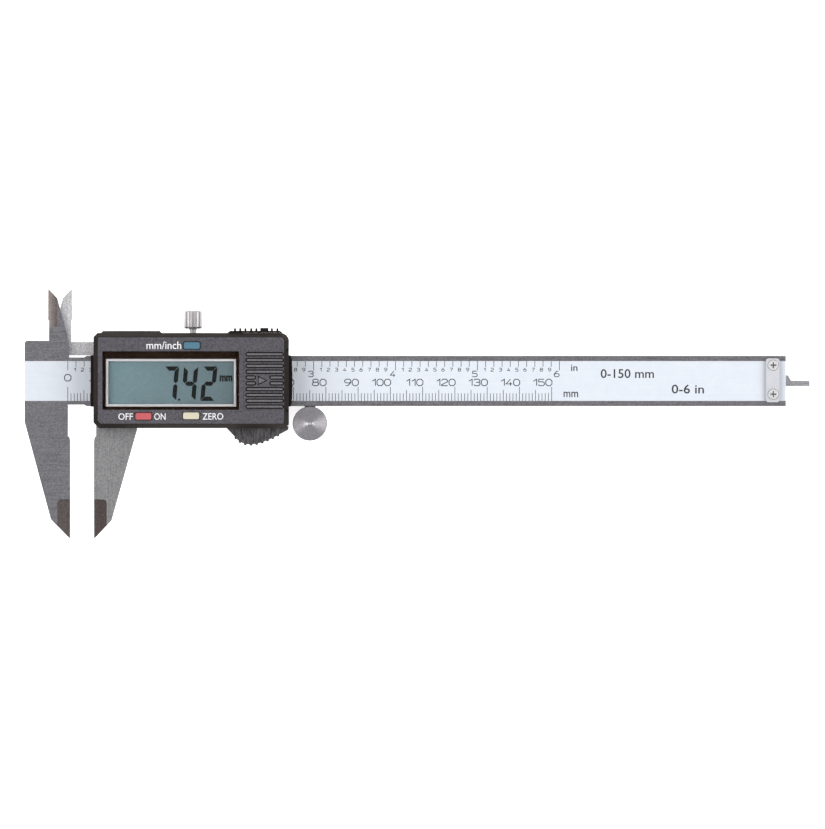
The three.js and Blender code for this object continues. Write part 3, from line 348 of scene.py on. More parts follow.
def plated(name, low, high, rough=0.3):
    """Drawn or plated metal with small tone changes."""
    made, nodes, links, shader = material(name)
    shader.inputs["Metallic"].default_value = 1.0
    shader.inputs["Roughness"].default_value = rough
    grain = noise(nodes, links, coordinates(nodes, links, (1, 4, 4)), 500, 3)
    links.new(ramp(nodes, links, grain, [(0.3, low), (0.7, high)]), shader.inputs["Base Color"])
    bump(nodes, links, shader, grain, 0.1, 0.00002)
    return made


def solder_resist(name):
    """Circuit board: green lacquer over a grid of tracks."""
    made, nodes, links, shader = material(name)
    shader.inputs["Roughness"].default_value = 0.3
    tracks = nodes.new("ShaderNodeTexBrick")
    tracks.inputs["Scale"].default_value = 260
    tracks.inputs["Color1"].default_value = (0.02, 0.12, 0.05, 1)
    tracks.inputs["Color2"].default_value = (0.03, 0.15, 0.06, 1)
    tracks.inputs["Mortar"].default_value = (0.06, 0.26, 0.10, 1)
    tracks.inputs["Mortar Size"].default_value = 0.12
    links.new(coordinates(nodes, links), tracks.inputs["Vector"])
    weave = noise(nodes, links, coordinates(nodes, links), 900, 2)
    shade = ramp(nodes, links, weave, [(0.3, 0.85), (0.7, 1.0)])
    links.new(mix(nodes, links, 1.0, tracks.outputs["Color"], shade, "MULTIPLY"), shader.inputs["Base Color"])
    return made


FIXED_STEEL = steel("fixed_steel", (0.245, 0.24, 0.26), 0.4)
# The ground tips of the fixed jaws darken towards -y across the beam: painted shade.
FIXED_GROUND_STEEL = steel("fixed_ground_steel", (0.165, 0.142, 0.135), 0.5, grain=(900, 50, 900),
                           painted_shade=("Y", across(-20), across(26), 0.55))
# The moving steel darkens towards -y across the beam: painted shade.
MOVING_STEEL = steel("moving_steel", (0.74, 0.71, 0.77), 0.42, grain=(900, 60, 900),
                     painted_shade=("Y", across(-6), across(12), 0.47))
MOVING_GROUND_STEEL = steel("moving_ground_steel", (0.058, 0.047, 0.045), 0.5, grain=(900, 50, 900))
ROD_STEEL = steel("rod_steel", (0.43, 0.435, 0.46), 0.42)
PLATE_STEEL = steel("plate_steel", (0.72, 0.725, 0.77), 0.5, 0.08, grain=(900, 80, 900))
# A darker copy of the steel for chamfers, sides and rims: painted shade of their dark outline.
SHADED_EDGE_STEEL = steel("edge_steel_painted_shade", (0.17, 0.165, 0.175), 0.5, 0.2)
SCREW_STEEL = steel("screw_steel", (0.88, 0.88, 0.89), 0.42, 0.08)
LOCK_STEEL = steel("lock_steel", (0.44, 0.43, 0.43), 0.5, 0.15, grain=(60, 900, 900))
BRIGHT_STEEL = steel("bright_steel", (0.66, 0.65, 0.68), 0.34, 0.15, grain=(60, 900, 900))
TURNED_STEEL = turned_steel("turned_steel")
CASE_GRAIN = speckled_plastic("case_grain", (0.036, 0.034, 0.039), (0.115, 0.110, 0.126))
# A lighter copy of the case grain for the tops of the cover's bars: painted highlight.
BAR_TOP_HIGHLIGHT = speckled_plastic("bar_top_painted_highlight", (0.070, 0.067, 0.074), (0.165, 0.16, 0.172))
THUMB_GRAIN = speckled_plastic("thumb_grain", (0.022, 0.020, 0.022), (0.105, 0.10, 0.105), 0.0004,
                               striped=True)
# Smooth sides, bevels and groove walls: the moulding is smooth there, and its colour is made darker than the
# grained face as painted shade.
CASE_SMOOTH_SHADED = smooth_plastic("case_smooth_painted_shade", (0.013, 0.010, 0.009), rough=0.6, specular=0.06)
BLOCK_SMOOTH = smooth_plastic("block_smooth", (0.05, 0.046, 0.048), rough=0.5, specular=0.15)
# The window recess is made darker still, as painted shade.
CASE_RECESS_SHADED = smooth_plastic("case_recess_painted_shade", (0.009, 0.004, 0.002), rough=0.6, specular=0.04)
LABEL_FILM = printed_film("label_film", (0.575, 0.615, 0.68), (0.63, 0.66, 0.71))
BACK_FILM = printed_film("back_film", (0.50, 0.52, 0.54), (0.58, 0.60, 0.62), 0.45)
SCALE_INK = ink("scale_ink", (0.022, 0.022, 0.028))
LEGEND_INK = ink("legend_ink", (0.66, 0.66, 0.68), 0.5)
SEGMENT_INK = ink("segment_ink", (0.006, 0.006, 0.006), 0.5, 0.05)
DISPLAY = liquid_crystal("display")
WINDOW = clear_plastic("window")
SILVER = printed_film("silver_bezel", (0.30, 0.285, 0.295), (0.38, 0.365, 0.375), 0.35)
BLUE = smooth_plastic("blue_button", (0.062, 0.148, 0.205), 0.4, 0.4, 1.15)
RED = smooth_plastic("red_button", (0.43, 0.086, 0.093), 0.4, 0.4, 1.12)
CREAM = smooth_plastic("cream_button", (0.53, 0.49, 0.375), 0.4, 0.4, 1.06)
BRASS = plated("drawn_brass", (0.55, 0.40, 0.16), (0.72, 0.55, 0.26))
GOLD = plated("gold_plate", (0.75, 0.55, 0.22), (0.90, 0.70, 0.33), 0.22)
CELL_METAL = plated("cell_can", (0.62, 0.62, 0.63), (0.78, 0.78, 0.79), 0.28)
BOARD = solder_resist("solder_resist")
RUBBER = smooth_plastic("contact_rubber", (0.035, 0.036, 0.04), 0.7, 0.2)
EPOXY = smooth_plastic("epoxy", (0.008, 0.008, 0.009), 0.25, 0.5)

# ---------------------------------------------------------------- mesh helpers

def finished(mesh, angle=EDGE_ANGLE):
    for face in mesh.polygons:
        face.use_smooth = True
    mesh.set_sharp_from_angle(angle=angle)
    return mesh


def piece(name, mesh, materials, body, replaces=(), choose=None):
    """A new piece on a body. choose(centre, normal) gives the number of each face's material."""
    for m in materials:
        mesh.materials.append(m)
    if choose:
        for face in mesh.polygons:
            face.material_index = choose(face.center, face.normal)
    made = bpy.data.objects.new(name, finished(mesh))
    scene.collection.objects.link(made)
    weighted = made.modifiers.new("even_faces", "WEIGHTED_NORMAL")
    weighted.keep_sharp = True
    weighted.weight = 80
    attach(made, body)
    if replaces:
        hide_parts(*replaces)
    return made


def mesh_from(bm, name):
    bmesh.ops.recalc_face_normals(bm, faces=bm.faces)
    made = bpy.data.meshes.new(name)
    bm.to_mesh(made)
    bm.free()
    return made


def cleaned(node):
    """A CAD node's mesh with its flat faces whole again."""
    bm = bmesh.new()
    bm.from_mesh(NODES[node].data)
    bmesh.ops.remove_doubles(bm, verts=bm.verts, dist=WELD)
    bmesh.ops.dissolve_limit(bm, angle_limit=FLAT_ANGLE, verts=bm.verts, edges=bm.edges)
    for face in bm.faces:
        face.material_index = 0
    return bm


def soften(bm, width, segments=2, keep=None):
    """Rounds the sharp edges that are long enough for the width; keep(edge) can pick among them.

    The overlap clamp holds the whole piece to what its tightest corner allows. The case, beam, frame, rod
    and end plate come out almost as sharp as their CAD nodes, far under the width asked for.
    """
    edges = [e for e in bm.edges if len(e.link_faces) == 2 and e.calc_face_angle(0) > SOFTENED_ANGLE
             and e.calc_length() > SHORTEST_SOFTENED * width and (keep is None or keep(e))]
    bmesh.ops.bevel(bm, geom=edges, offset=width, offset_type="OFFSET", segments=segments, profile=0.5,
                    affect="EDGES", clamp_overlap=True)


def refined(node, name, width, materials, body, choose=None, segments=2):
    """Stands for a CAD node: the same shape, its edges rounded as far as soften can."""
    bm = cleaned(node)
    soften(bm, width, segments)
    return piece(name, mesh_from(bm, name), materials, body, (node,), choose)


def prism(bm, outline, z0, z1):
    """A closed prism over an outline of (x, y)."""
    low = [bm.verts.new((x, y, z0)) for x, y in outline]
    high = [bm.verts.new((x, y, z1)) for x, y in outline]
    bm.faces.new(reversed(low))
    bm.faces.new(high)
    for i in range(len(outline)):
        j = (i + 1) % len(outline)
        bm.faces.new((low[i], low[j], high[j], high[i]))


def bar(bm, x0, x1, y0, y1, z0, z1):
    prism(bm, [(x0, y0), (x1, y0), (x1, y1), (x0, y1)], z0, z1)


def sides_of(points, half, closed):
    """The points half a width to the left and right of a line, mitred at its corners."""
    points = [Vector(p) for p in points]
    count = len(points)
    left, right = [], []
    for i, p in enumerate(points):
        came = (p - points[i - 1]).normalized() if closed or i > 0 else None
        goes = (points[(i + 1) % count] - p).normalized() if closed or i < count - 1 else None
        came, goes = came or goes, goes or came
        along = (came + goes).normalized()
        normal = Vector((-along.y, along.x))
        reach = half / max(normal.dot(Vector((-came.y, came.x))), 0.45)
        left.append(p + normal * reach)
        right.append(p - normal * reach)
    return left, right


def ribbon(bm, points, width, z0, z1, closed=False):
    """A flat printed line of one width."""
    left, right = sides_of(points, width / 2, closed)
    if not closed:
        prism(bm, right + left[::-1], z0, z1)
        return
    rings = [[bm.verts.new((p.x, p.y, z)) for p in side] for z in (z0, z1) for side in (left, right)]
    low_in, low_out, high_in, high_out = rings
    count = len(points)
    for i in range(count):
        j = (i + 1) % count
        bm.faces.new((high_out[i], high_out[j], high_in[j], high_in[i]))
        bm.faces.new((low_in[i], low_in[j], low_out[j], low_out[i]))
        bm.faces.new((low_out[i], low_out[j], high_out[j], high_out[i]))
        bm.faces.new((high_in[i], high_in[j], low_in[j], low_in[i]))


def lettering(name, text, x0, x1, y0, y1, z, ink_material, body, bold=0.003):
    """Printed letters that fill the box from (x0, y0) to (x1, y1); bold thickens their strokes."""
    curve = bpy.data.curves.new(name, "FONT")
    curve.body = text
    curve.extrude = 0.5
    curve.resolution_u = 3
    curve.offset = bold
    maker = bpy.data.objects.new(name + "_maker", curve)
    scene.collection.objects.link(maker)
    bpy.context.view_layer.update()
    mesh = bpy.data.meshes.new_from_object(maker.evaluated_get(bpy.context.evaluated_depsgraph_get()))
    bpy.data.objects.remove(maker)
    bm = bmesh.new()
    bm.from_mesh(mesh)
    bpy.data.meshes.remove(mesh)
    bmesh.ops.remove_doubles(bm, verts=bm.verts, dist=1e-5)
    low = [min(v.co[i] for v in bm.verts) for i in range(3)]
    high = [max(v.co[i] for v in bm.verts) for i in range(3)]
    for v in bm.verts:
        share = [(v.co[i] - low[i]) / (high[i] - low[i]) for i in range(3)]
        v.co = (x0 + share[0] * (x1 - x0), y0 + share[1] * (y1 - y0), z + share[2] * INK_THICKNESS)
    return piece(name, mesh_from(bm, name), [ink_material], body)


def boolean(bm, cutter, operation):
    """bm cut by, or joined with, cutter; both are used up."""
    holders = []
    for label, shape in (("target", bm), ("tool", cutter)):
        holder = bpy.data.objects.new(label, mesh_from(shape, label))
        scene.collection.objects.link(holder)
        holders.append(holder)
    modifier = holders[0].modifiers.new("boolean", "BOOLEAN")
    modifier.operation = operation
    modifier.object = holders[1]
    modifier.solver = "EXACT"
    bpy.context.view_layer.update()
    mesh = bpy.data.meshes.new_from_object(holders[0].evaluated_get(bpy.context.evaluated_depsgraph_get()))
    for holder in holders:
        bpy.data.objects.remove(holder)
    result = bmesh.new()
    result.from_mesh(mesh)
    bpy.data.meshes.remove(mesh)
    bmesh.ops.remove_doubles(result, verts=result.verts, dist=WELD)
    return result


def stadium(x0, x1, y, half, steps=6):
    """A bar with round ends, as an outline."""
    outline = []
    for i in range(steps + 1):
        turn = -math.pi / 2 + math.pi * i / steps
        outline.append((x1 - half + half * math.cos(turn), y + half * math.sin(turn)))
    for i in range(steps + 1):
        turn = math.pi / 2 + math.pi * i / steps
        outline.append((x0 + half + half * math.cos(turn), y + half * math.sin(turn)))
    return outline


def lathe(bm, centre, profile, count, radius_at=None):
    """Turns a profile of (radius, height) round +Z at centre. radius_at(angle, radius) can flute it."""
    rings = []
    for radius, height in profile:
        if radius == 0:
            rings.append([bm.verts.new((centre[0], centre[1], height))])
            continue
        ring = []
        for i in range(count):
            turn = 2 * math.pi * i / count
            r = radius_at(turn, radius) if radius_at else radius
            spot = (centre[0] + r * math.cos(turn), centre[1] + r * math.sin(turn), height)
            ring.append(bm.verts.new(spot))
        rings.append(ring)
    for lower, upper in zip(rings, rings[1:]):
        for i in range(count):
            j = (i + 1) % count
            if len(lower) == 1:
                bm.faces.new((lower[0], upper[j], upper[i]))
            elif len(upper) == 1:
                bm.faces.new((lower[i], lower[j], upper[0]))
            else:
                bm.faces.new((lower[i], lower[j], upper[j], upper[i]))


# ---------------------------------------------------------------- figures

CORNER = 0.27
LOOP = [(CORNER, 0), (1 - CORNER, 0), (1, CORNER), (1, 1 - CORNER), (1 - CORNER, 1), (CORNER, 1),
        (0, 1 - CORNER), (0, CORNER)]
FIGURES = {
    "0": [(LOOP, True)],
    "1": [([(0.1, 0.7), (0.62, 1), (0.62, 0)], False)],
    "2": [([(0, 0.8), (0.22, 1), (0.78, 1), (1, 0.8), (1, 0.62), (0, 0.14), (0, 0), (1, 0)], False)],
    "3": [([(0, 0.84), (0.22, 1), (0.78, 1), (1, 0.84), (1, 0.67), (0.78, 0.53), (0.35, 0.53)], False),
          ([(0.78, 0.53), (1, 0.38), (1, 0.17), (0.78, 0), (0.22, 0), (0, 0.17)], False)],
    "4": [([(0.72, 1), (0, 0.28), (1, 0.28)], False), ([(0.72, 0.55), (0.72, 0)], False)],
    "5": [([(0.95, 1), (0.1, 1), (0.05, 0.6), (0.75, 0.6), (1, 0.43), (1, 0.17), (0.77, 0), (0.23, 0),
            (0, 0.15)], False)],
    "6": [([(0.82, 1), (0.45, 0.96), (0, 0.5), (0, 0.18), (0.24, 0), (0.76, 0), (1, 0.18), (1, 0.4),
            (0.76, 0.57), (0.2, 0.57), (0, 0.4)], False)],
    "7": [([(0, 1), (1, 1), (0.35, 0)], False)],
    "8": [([(0.27, 0.53), (0.75, 0.53), (0.94, 0.66), (0.94, 0.86), (0.73, 1), (0.27, 1), (0.06, 0.86),
            (0.06, 0.66)], True),
          ([(0.24, 0), (0.76, 0), (1, 0.16), (1, 0.38), (0.76, 0.53), (0.24, 0.53), (0, 0.38),
            (0, 0.16)], True)],
    "9": [([(0.18, 0), (0.55, 0.04), (1, 0.5), (1, 0.82), (0.76, 1), (0.24, 1), (0, 0.82), (0, 0.6),
            (0.24, 0.43), (0.8, 0.43), (1, 0.6)], False)],
}


def figure_width(figure, size):
    return size["width"] * (0.66 if figure == "1" else 1)


def number(bm, text, right, size, z):
    """A printed number that ends at right."""
    x = right
    for figure in reversed(text):
        x -= figure_width(figure, size)
        for points, closed in FIGURES[figure]:
            placed = [(x + px * size["width"], BEAM_MIDDLE + size["low"] + py * size["height"])
                      for px, py in points]
            ribbon(bm, placed, size["line"], z, z + INK_THICKNESS, closed)
        x -= size["gap"]


def scale_print():
    """The printed marks and numbers of the millimetre and inch scales."""
    zero = FIXED_FACE + SCALE_ZERO
    z = LABEL_HIGH.z
    marks = bmesh.new()
    for value in range(SCALE_LENGTH + 1):
        length = MM_TICKS[10] if value % 10 == 0 else MM_TICKS[5] if value % 5 == 0 else MM_TICKS[1]
        x = zero + value * MM
        bar(marks, x - TICK_WIDTH / 2, x + TICK_WIDTH / 2, LABEL_LOW.y + TICK_MARGIN, LABEL_LOW.y + length,
            z, z + INK_THICKNESS)
    for tenth in range(10 * SCALE_INCHES + 1):
        length = INCH_TICKS["whole" if tenth % 10 == 0 else "tenth"]
        x = zero + tenth * TENTH_INCH
        bar(marks, x - TICK_WIDTH / 2, x + TICK_WIDTH / 2, LABEL_HIGH.y - length, LABEL_HIGH.y - TICK_MARGIN,
            z, z + INK_THICKNESS)
    piece("scale_marks", mesh_from(marks, "scale_marks"), [SCALE_INK], "beam")
    numbers = bmesh.new()
    number(numbers, "0", zero + ZERO_DIGIT["width"] / 2, ZERO_DIGIT, z)
    for value in range(10, SCALE_LENGTH + 1, 10):
        number(numbers, str(value), zero + value * MM + TICK_WIDTH / 2, MM_DIGIT, z)
    for tenth in range(1, 10 * SCALE_INCHES + 1):
        size = TENTH_DIGIT if tenth % 10 else INCH_DIGIT
        text = str(tenth % 10 or tenth // 10)
        number(numbers, text, zero + tenth * TENTH_INCH - 0.1 * MM, size, z)
    piece("scale_numbers", mesh_from(numbers, "scale_numbers"), [SCALE_INK], "beam")


def label_words():
    z = LABEL_HIGH.z
    for name, text, x0, x1, y0, y1 in (
        ("inch_word", "in", 155.3, 157.3, 3.1, 5.1),
        ("millimetre_word", "mm", 153.0, 157.5, -5.0, -3.3),
        ("range_metric", "0-150 mm", 164.5, 181.0, 0.9, 3.7),
        ("range_inch", "0-6 in", 186.5, 196.5, -3.9, -1.1),
    ):
        lettering(name, text, from_fixed(x0), from_fixed(x1), across(y0), across(y1), z, SCALE_INK, "beam",
                  bold=0.008)


# ---------------------------------------------------------------- the reading

BARS = {"7": "abc", "4": "bcfg", "2": "abdeg"}


def bar_outline(which, w, h, t, g):
    """One bar of a seven-bar figure, upright, from its lower left corner."""
    mid = h / 2
    top = [(g, h), (w - g, h), (w - t, h - t), (t, h - t)]
    upper = [(w, h - 2 * g), (w, mid + t / 2 + g), (w - t / 2, mid + g), (w - t, mid + t / 2 + g),
             (w - t, h - t - g)]
    middle = [(t / 2 + g, mid), (t + g, mid + t / 2), (w - t - g, mid + t / 2), (w - t / 2 - g, mid),
              (w - t - g, mid - t / 2), (t + g, mid - t / 2)]
    flipped = {"a": top, "b": upper, "g": middle,
               "c": [(x, h - y) for x, y in upper], "d": [(x, h - y) for x, y in top],
               "f": [(w - x, y) for x, y in upper], "e": [(w - x, h - y) for x, y in upper]}
    return flipped[which]


def wound(outline):
    """The outline, counter-clockwise."""
    area = sum(a[0] * b[1] - b[0] * a[1] for a, b in zip(outline, outline[1:] + outline[:1]))
    return outline if area > 0 else outline[::-1]


def reading():
    """The dark bars of the number on the display."""
    bm = bmesh.new()
    z = LCD_HIGH.z
    size = READING
    low = across(0) + size["low"]
    for place, figure in enumerate("742"):
        left = MOVING_FACE + size["left"] + place * size["pitch"]
        for which in BARS[figure]:
            outline = bar_outline(which, size["width"], size["height"], size["bar"], size["gap"])
            leaning = [(left + x + y * size["slant"], low + y) for x, y in outline]
            prism(bm, wound(leaning), z, z + INK_THICKNESS)
    dot = MOVING_FACE + size["left"] + size["width"] + DOT["gap"]
    prism(bm, stadium(dot, dot + DOT["length"], low + DOT["half"], DOT["half"]), z, z + INK_THICKNESS)
    piece("reading", mesh_from(bm, "reading"), [SEGMENT_INK], "slider")
    lettering("reading_unit", "mm", from_moving(39.05), from_moving(43.0), across(-0.15), across(1.75), z,
              SEGMENT_INK, "slider", bold=0.05)


def legends():
    z = CASE_FACE
    for name, text, x0, x1, y0, y1 in (
        ("legend_unit", "mm/inch", 16.45, 27.2, 9.85, 12.25),
        ("legend_off", "OFF", 7.75, 12.2, -12.05, -10.0),
        ("legend_on", "ON", 18.85, 22.35, -12.05, -10.0),
        ("legend_zero", "ZERO", 33.8, 40.2, -12.0, -9.95),
    ):
        lettering(name, text, from_moving(x0), from_moving(x1), across(y0), across(y1), z, LEGEND_INK,
                  "slider")


# ---------------------------------------------------------------- steel pieces

def is_ground(normal):
    """The jaws' thinned tips lean a little off the flat."""
    return GROUND_TILT[0] < abs(normal.z) < GROUND_TILT[1]


def beam():
    refined("beam", "beam_ground", 0.12 * MM, [FIXED_STEEL, FIXED_GROUND_STEEL], "beam",
            lambda centre, normal: 1 if is_ground(normal) else 0)


def slider_frame():
    refined("slider_frame", "slider_frame_ground", 0.1 * MM, [MOVING_STEEL, MOVING_GROUND_STEEL], "slider",
            lambda centre, normal: 1 if is_ground(normal) else 0)


def end_plate():
    # Tops take the plate or screw steel; chamfers and sides take the darker edge steel as painted shade.
    plate_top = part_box("end_stop_plate")[1].z - SKIN
    refined("end_stop_plate", "end_plate", 0.22 * MM, [PLATE_STEEL, SHADED_EDGE_STEEL], "beam",
            lambda centre, normal: 0 if normal.z > 0.99 and centre.z > plate_top else 1, segments=1)
    for i in (1, 2):
        name = f"end_stop_screw_{i}"
        screw_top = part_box(name)[1].z - SKIN
        refined(name, f"end_screw_{i}", 0.08 * MM, [SCREW_STEEL, SHADED_EDGE_STEEL], "beam",
                lambda centre, normal: 0 if normal.z > 0.9 and centre.z > screw_top else 1)


def thumb_roller():
    """Turned roller: straight knurl on the chamfered rim, flat faces and a small bore."""
    low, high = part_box("thumb_roller")
    centre = ((low.x + high.x) / 2, (low.y + high.y) / 2)
    rim = (high.x - low.x) / 2
    chamfer, hole, rings = ROLLER["chamfer"], ROLLER["hole"], ROLLER["rings"]

    def knurl(turn, radius):
        if radius < rim - ON_RIM:
            return radius
        return radius - ROLLER["knurl"] * (1 + math.cos(ROLLER["teeth"] * turn)) / 2

    profile = [(r, low.z) for r in rings]
    profile += [(rim - chamfer, low.z), (rim, low.z + chamfer)]
    profile += [(rim, high.z - chamfer), (rim - chamfer, high.z)]
    profile += [(r, high.z) for r in reversed(rings)]
    profile += [(hole, high.z - ROLLER["hole_rim"]), (hole, low.z + ROLLER["hole_rim"])]
    bm = bmesh.new()
    lathe(bm, centre, profile + profile[:1], ROLLER["teeth"] * 4, knurl)
    bmesh.ops.remove_doubles(bm, verts=bm.verts, dist=0.0005 * MM)
    # The rim, chamfers and bore take the darker edge steel as painted shade.
    piece("roller_turned", mesh_from(bm, "roller_turned"), [TURNED_STEEL, SHADED_EDGE_STEEL], "thumb_roller",
          ("thumb_roller",), lambda centre, normal: 0 if abs(normal.z) > 0.9 else 1)


def lock_screw():
    """Turned screw with a fluted head, along Y."""
    low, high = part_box("lock_screw")
    axis = ((low.x + high.x) / 2, (low.z + high.z) / 2)
    head = (high.x - low.x) / 2
    head_start, head_end = across(16.24), high.y
    chamfer, shank, dish = LOCK["chamfer"], LOCK["shank"], LOCK["dish"]

    def flute(turn, radius):
        if radius < head - ON_RIM:
            return radius
        return radius - LOCK["flute"] * max(0, math.cos(LOCK["flutes"] * turn)) ** 2

    profile = [(0, low.y), (shank * 0.7, low.y), (shank, low.y + LOCK["tip"]),
               (shank, head_start - LOCK["step_low"]), (shank * 1.25, head_start - LOCK["step_high"]),
               (shank * 1.25, head_start), (head - chamfer, head_start), (head, head_start + chamfer),
               (head, head_end - chamfer), (head - chamfer, head_end), (head * 0.55, head_end),
               (head * 0.5, head_end - dish), (0, head_end - dish)]
    bm = bmesh.new()
    lathe(bm, (0, 0), profile, LOCK["flutes"] * 8, flute)
    upright = Matrix(((1, 0, 0, axis[0]), (0, 0, 1, 0), (0, -1, 0, axis[1]), (0, 0, 0, 1)))
    bmesh.ops.transform(bm, matrix=upright, verts=bm.verts)
    piece("lock_screw_fluted", mesh_from(bm, "lock_screw_fluted"), [LOCK_STEEL], "lock_screw",
          ("lock_screw",))


# ---------------------------------------------------------------- plastic pieces

def case_zone(centre, normal):
    """0 grained face, 1 smooth sides and bevels in darker plastic as painted shade, 2 recess in darker
    plastic as painted shade, 3 thumb rest, 4 raised block.
    """
    margin, depth = 0.5 * MM, 3 * MM
    in_window = (LENS_LOW.x - margin < centre.x < LENS_HIGH.x + margin
                 and LENS_LOW.y - margin < centre.y < LENS_HIGH.y + margin)
    if in_window and CASE_FACE - depth < centre.z < CASE_FACE - SKIN:
        return 2
    if normal.z < 0.9:
        return 1
    if centre.z > CASE_FACE - 2 * SKIN:
        return 0
    if centre.y < across(-14.0):
        return 3
    if centre.y > across(14.6) and centre.x < from_moving(25):
        return 4
    return 1


def front_case():
    refined("front_case", "front_case_moulded", 0.16 * MM,
            [CASE_GRAIN, CASE_SMOOTH_SHADED, CASE_RECESS_SHADED, THUMB_GRAIN, BLOCK_SMOOTH], "slider",
            case_zone)


def cover_zone(centre, normal):
    """0 grained face, 1 groove floors and sides in darker plastic as painted shade, 2 tops of the bars in
    lighter plastic as painted highlight.
    """
    if normal.z < 0.9 or centre.z < CASE_FACE - 2 * SKIN:
        return 1
    return 2 if centre.z > CASE_FACE + SKIN else 0


def bar_spans(middle):
    """The ends and the place across the cover of each raised bar; the arrow interrupts the middle two."""
    left, right = MOVING_FACE + RIB["left"], MOVING_FACE + RIB["right"]
    gap_left = MOVING_FACE + ARROW["left"] - ARROW["margin"]
    gap_right = MOVING_FACE + ARROW["right"] + ARROW["margin"]
    spans = []
    for i in range(RIB["count"]):
        y = middle + (i - (RIB["count"] - 1) / 2) * RIB["pitch"]
        if abs(y - middle) < RIB["pitch"]:
            spans += [(left, gap_left, y), (gap_right, right, y)]
        else:
            spans.append((left, right, y))
    return spans


def arrow_outline(middle, tail_inset=0, tip_inset=0, side_inset=0):
    """A triangle that points right, drawn in by an inset at its tail, tip and sides."""
    x0, x1 = MOVING_FACE + ARROW["left"] + tail_inset, MOVING_FACE + ARROW["right"] - tip_inset
    half = ARROW["half"] - side_inset
    return [(x0, middle - half), (x1, middle), (x0, middle + half)]


def battery_cover():
    """Sliding cover: each raised bar stands in a sunk outline."""
    bm = cleaned("battery_cover")
    face = CASE_FACE
    over, root, above = 1 * MM, face - RIB["depth"] - 0.1 * MM, face + RIB["height"]
    shaved, grooves, bars = bmesh.new(), bmesh.new(), bmesh.new()
    bar(shaved, COVER_LOW.x - over, COVER_HIGH.x + over, COVER_LOW.y - over, COVER_HIGH.y + over, face,
        face + 2 * over)
    middle = (COVER_LOW.y + COVER_HIGH.y) / 2
    edge = RIB["groove"] - RIB["half"]
    for x0, x1, y in bar_spans(middle):
        prism(grooves, stadium(x0, x1, y, RIB["groove"]), face - RIB["depth"], face + over)
        prism(bars, stadium(x0 + edge, x1 - edge, y, RIB["half"]), root, above)
    prism(grooves, arrow_outline(middle), face - RIB["depth"], face + over)
    inner = arrow_outline(middle, ARROW["tail_inset"], ARROW["tip_inset"], ARROW["side_inset"])
    prism(bars, inner, root, above)
    for shape, operation in ((shaved, "DIFFERENCE"), (grooves, "DIFFERENCE"), (bars, "UNION")):
        bm = boolean(bm, shape, operation)
    bmesh.ops.dissolve_limit(bm, angle_limit=FLAT_ANGLE, verts=bm.verts, edges=bm.edges)
    piece("battery_cover_ribbed", mesh_from(bm, "battery_cover_ribbed"),
          [CASE_GRAIN, CASE_SMOOTH_SHADED, BAR_TOP_HIGHLIGHT], "battery_cover", ("battery_cover",),
          cover_zone)


def small_plastics():
    refined("data_port_cover", "data_port_cover_moulded", 0.08 * MM, [CASE_SMOOTH_SHADED], "data_port_cover")
    for node, paint, slot_name in (("unit_button", BLUE, "blue_button"), ("power_button", RED, "red_button"),
                                   ("zero_button", CREAM, "cream_button")):
        bm = cleaned(node)
        low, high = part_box(node)
        middle = (low + high) / 2
        for v in bm.verts:
            off_x, off_y = v.co.x - middle.x, v.co.y - middle.y
            of_cap = abs(off_x) < BUTTON_CAP["half_x"] and abs(off_y) < BUTTON_CAP["half_y"]
            if of_cap and v.co.z > CASE_FACE - BUTTON_CAP["sunk"]:
                v.co.x -= math.copysign(BUTTON_GAP, off_x)
                v.co.y -= math.copysign(BUTTON_GAP, off_y)
        soften(bm, 0.25 * MM, 3, keep=lambda e: min(v.co.z for v in e.verts) > CASE_FACE)
        piece(node + "_cap", mesh_from(bm, node + "_cap"), [paint], node, (node,))


def glazing():
    refined("window_lens", "window_pane", 0.15 * MM, [WINDOW], "slider")
    refined("lcd_frame", "display_frame", 0.1 * MM, [SILVER], "slider")


def rod():
    refined("depth_rod", "depth_rod_ground", 0.08 * MM, [ROD_STEEL], "slider")


def remaining_nodes():
    """Materials for the CAD nodes that are shown as they are."""
    paints = {
        "scale_board": BOARD, "scale_label": LABEL_FILM, "gib_strip": BRASS, "gib_set_screw_1": SCREW_STEEL,
        "gib_set_screw_2": SCREW_STEEL, "lcd_panel": DISPLAY, "contact_strip_upper": RUBBER,
        "contact_strip_lower": RUBBER, "circuit_board": BOARD, "chip_cover": EPOXY, "port_contacts": GOLD,
        "battery_cell": CELL_METAL, "battery_contact_minus": GOLD, "battery_contact_plus": GOLD,
        "back_label": BACK_FILM, "roller_bracket": MOVING_STEEL, "roller_axle": BRIGHT_STEEL,
    }
    for name in NODES:
        if name.startswith(("board_screw", "case_screw", "rod_screw", "bracket_screw")):
            paints[name] = SCREW_STEEL
        if name.endswith("switch_dome"):
            paints[name] = GOLD
    for name, paint in paints.items():
        mesh = NODES[name].data
        mesh.materials.clear()
        mesh.materials.append(paint)


# ---------------------------------------------------------------- stage

CAMERA_LENS = 700
CAMERA_HEIGHT = 5.002
AIM = (from_fixed(106.16), across(-10.39))
FLOOR_HALF = 6.0
FLOOR_GAP = 0.02 * MM
SKY = {"top": 0.5, "rim": 1.2}
SOFTBOX = {"out": 1.15, "along": 0.1, "height": 1.0, "size": (0.9, 1.1), "power": 13}


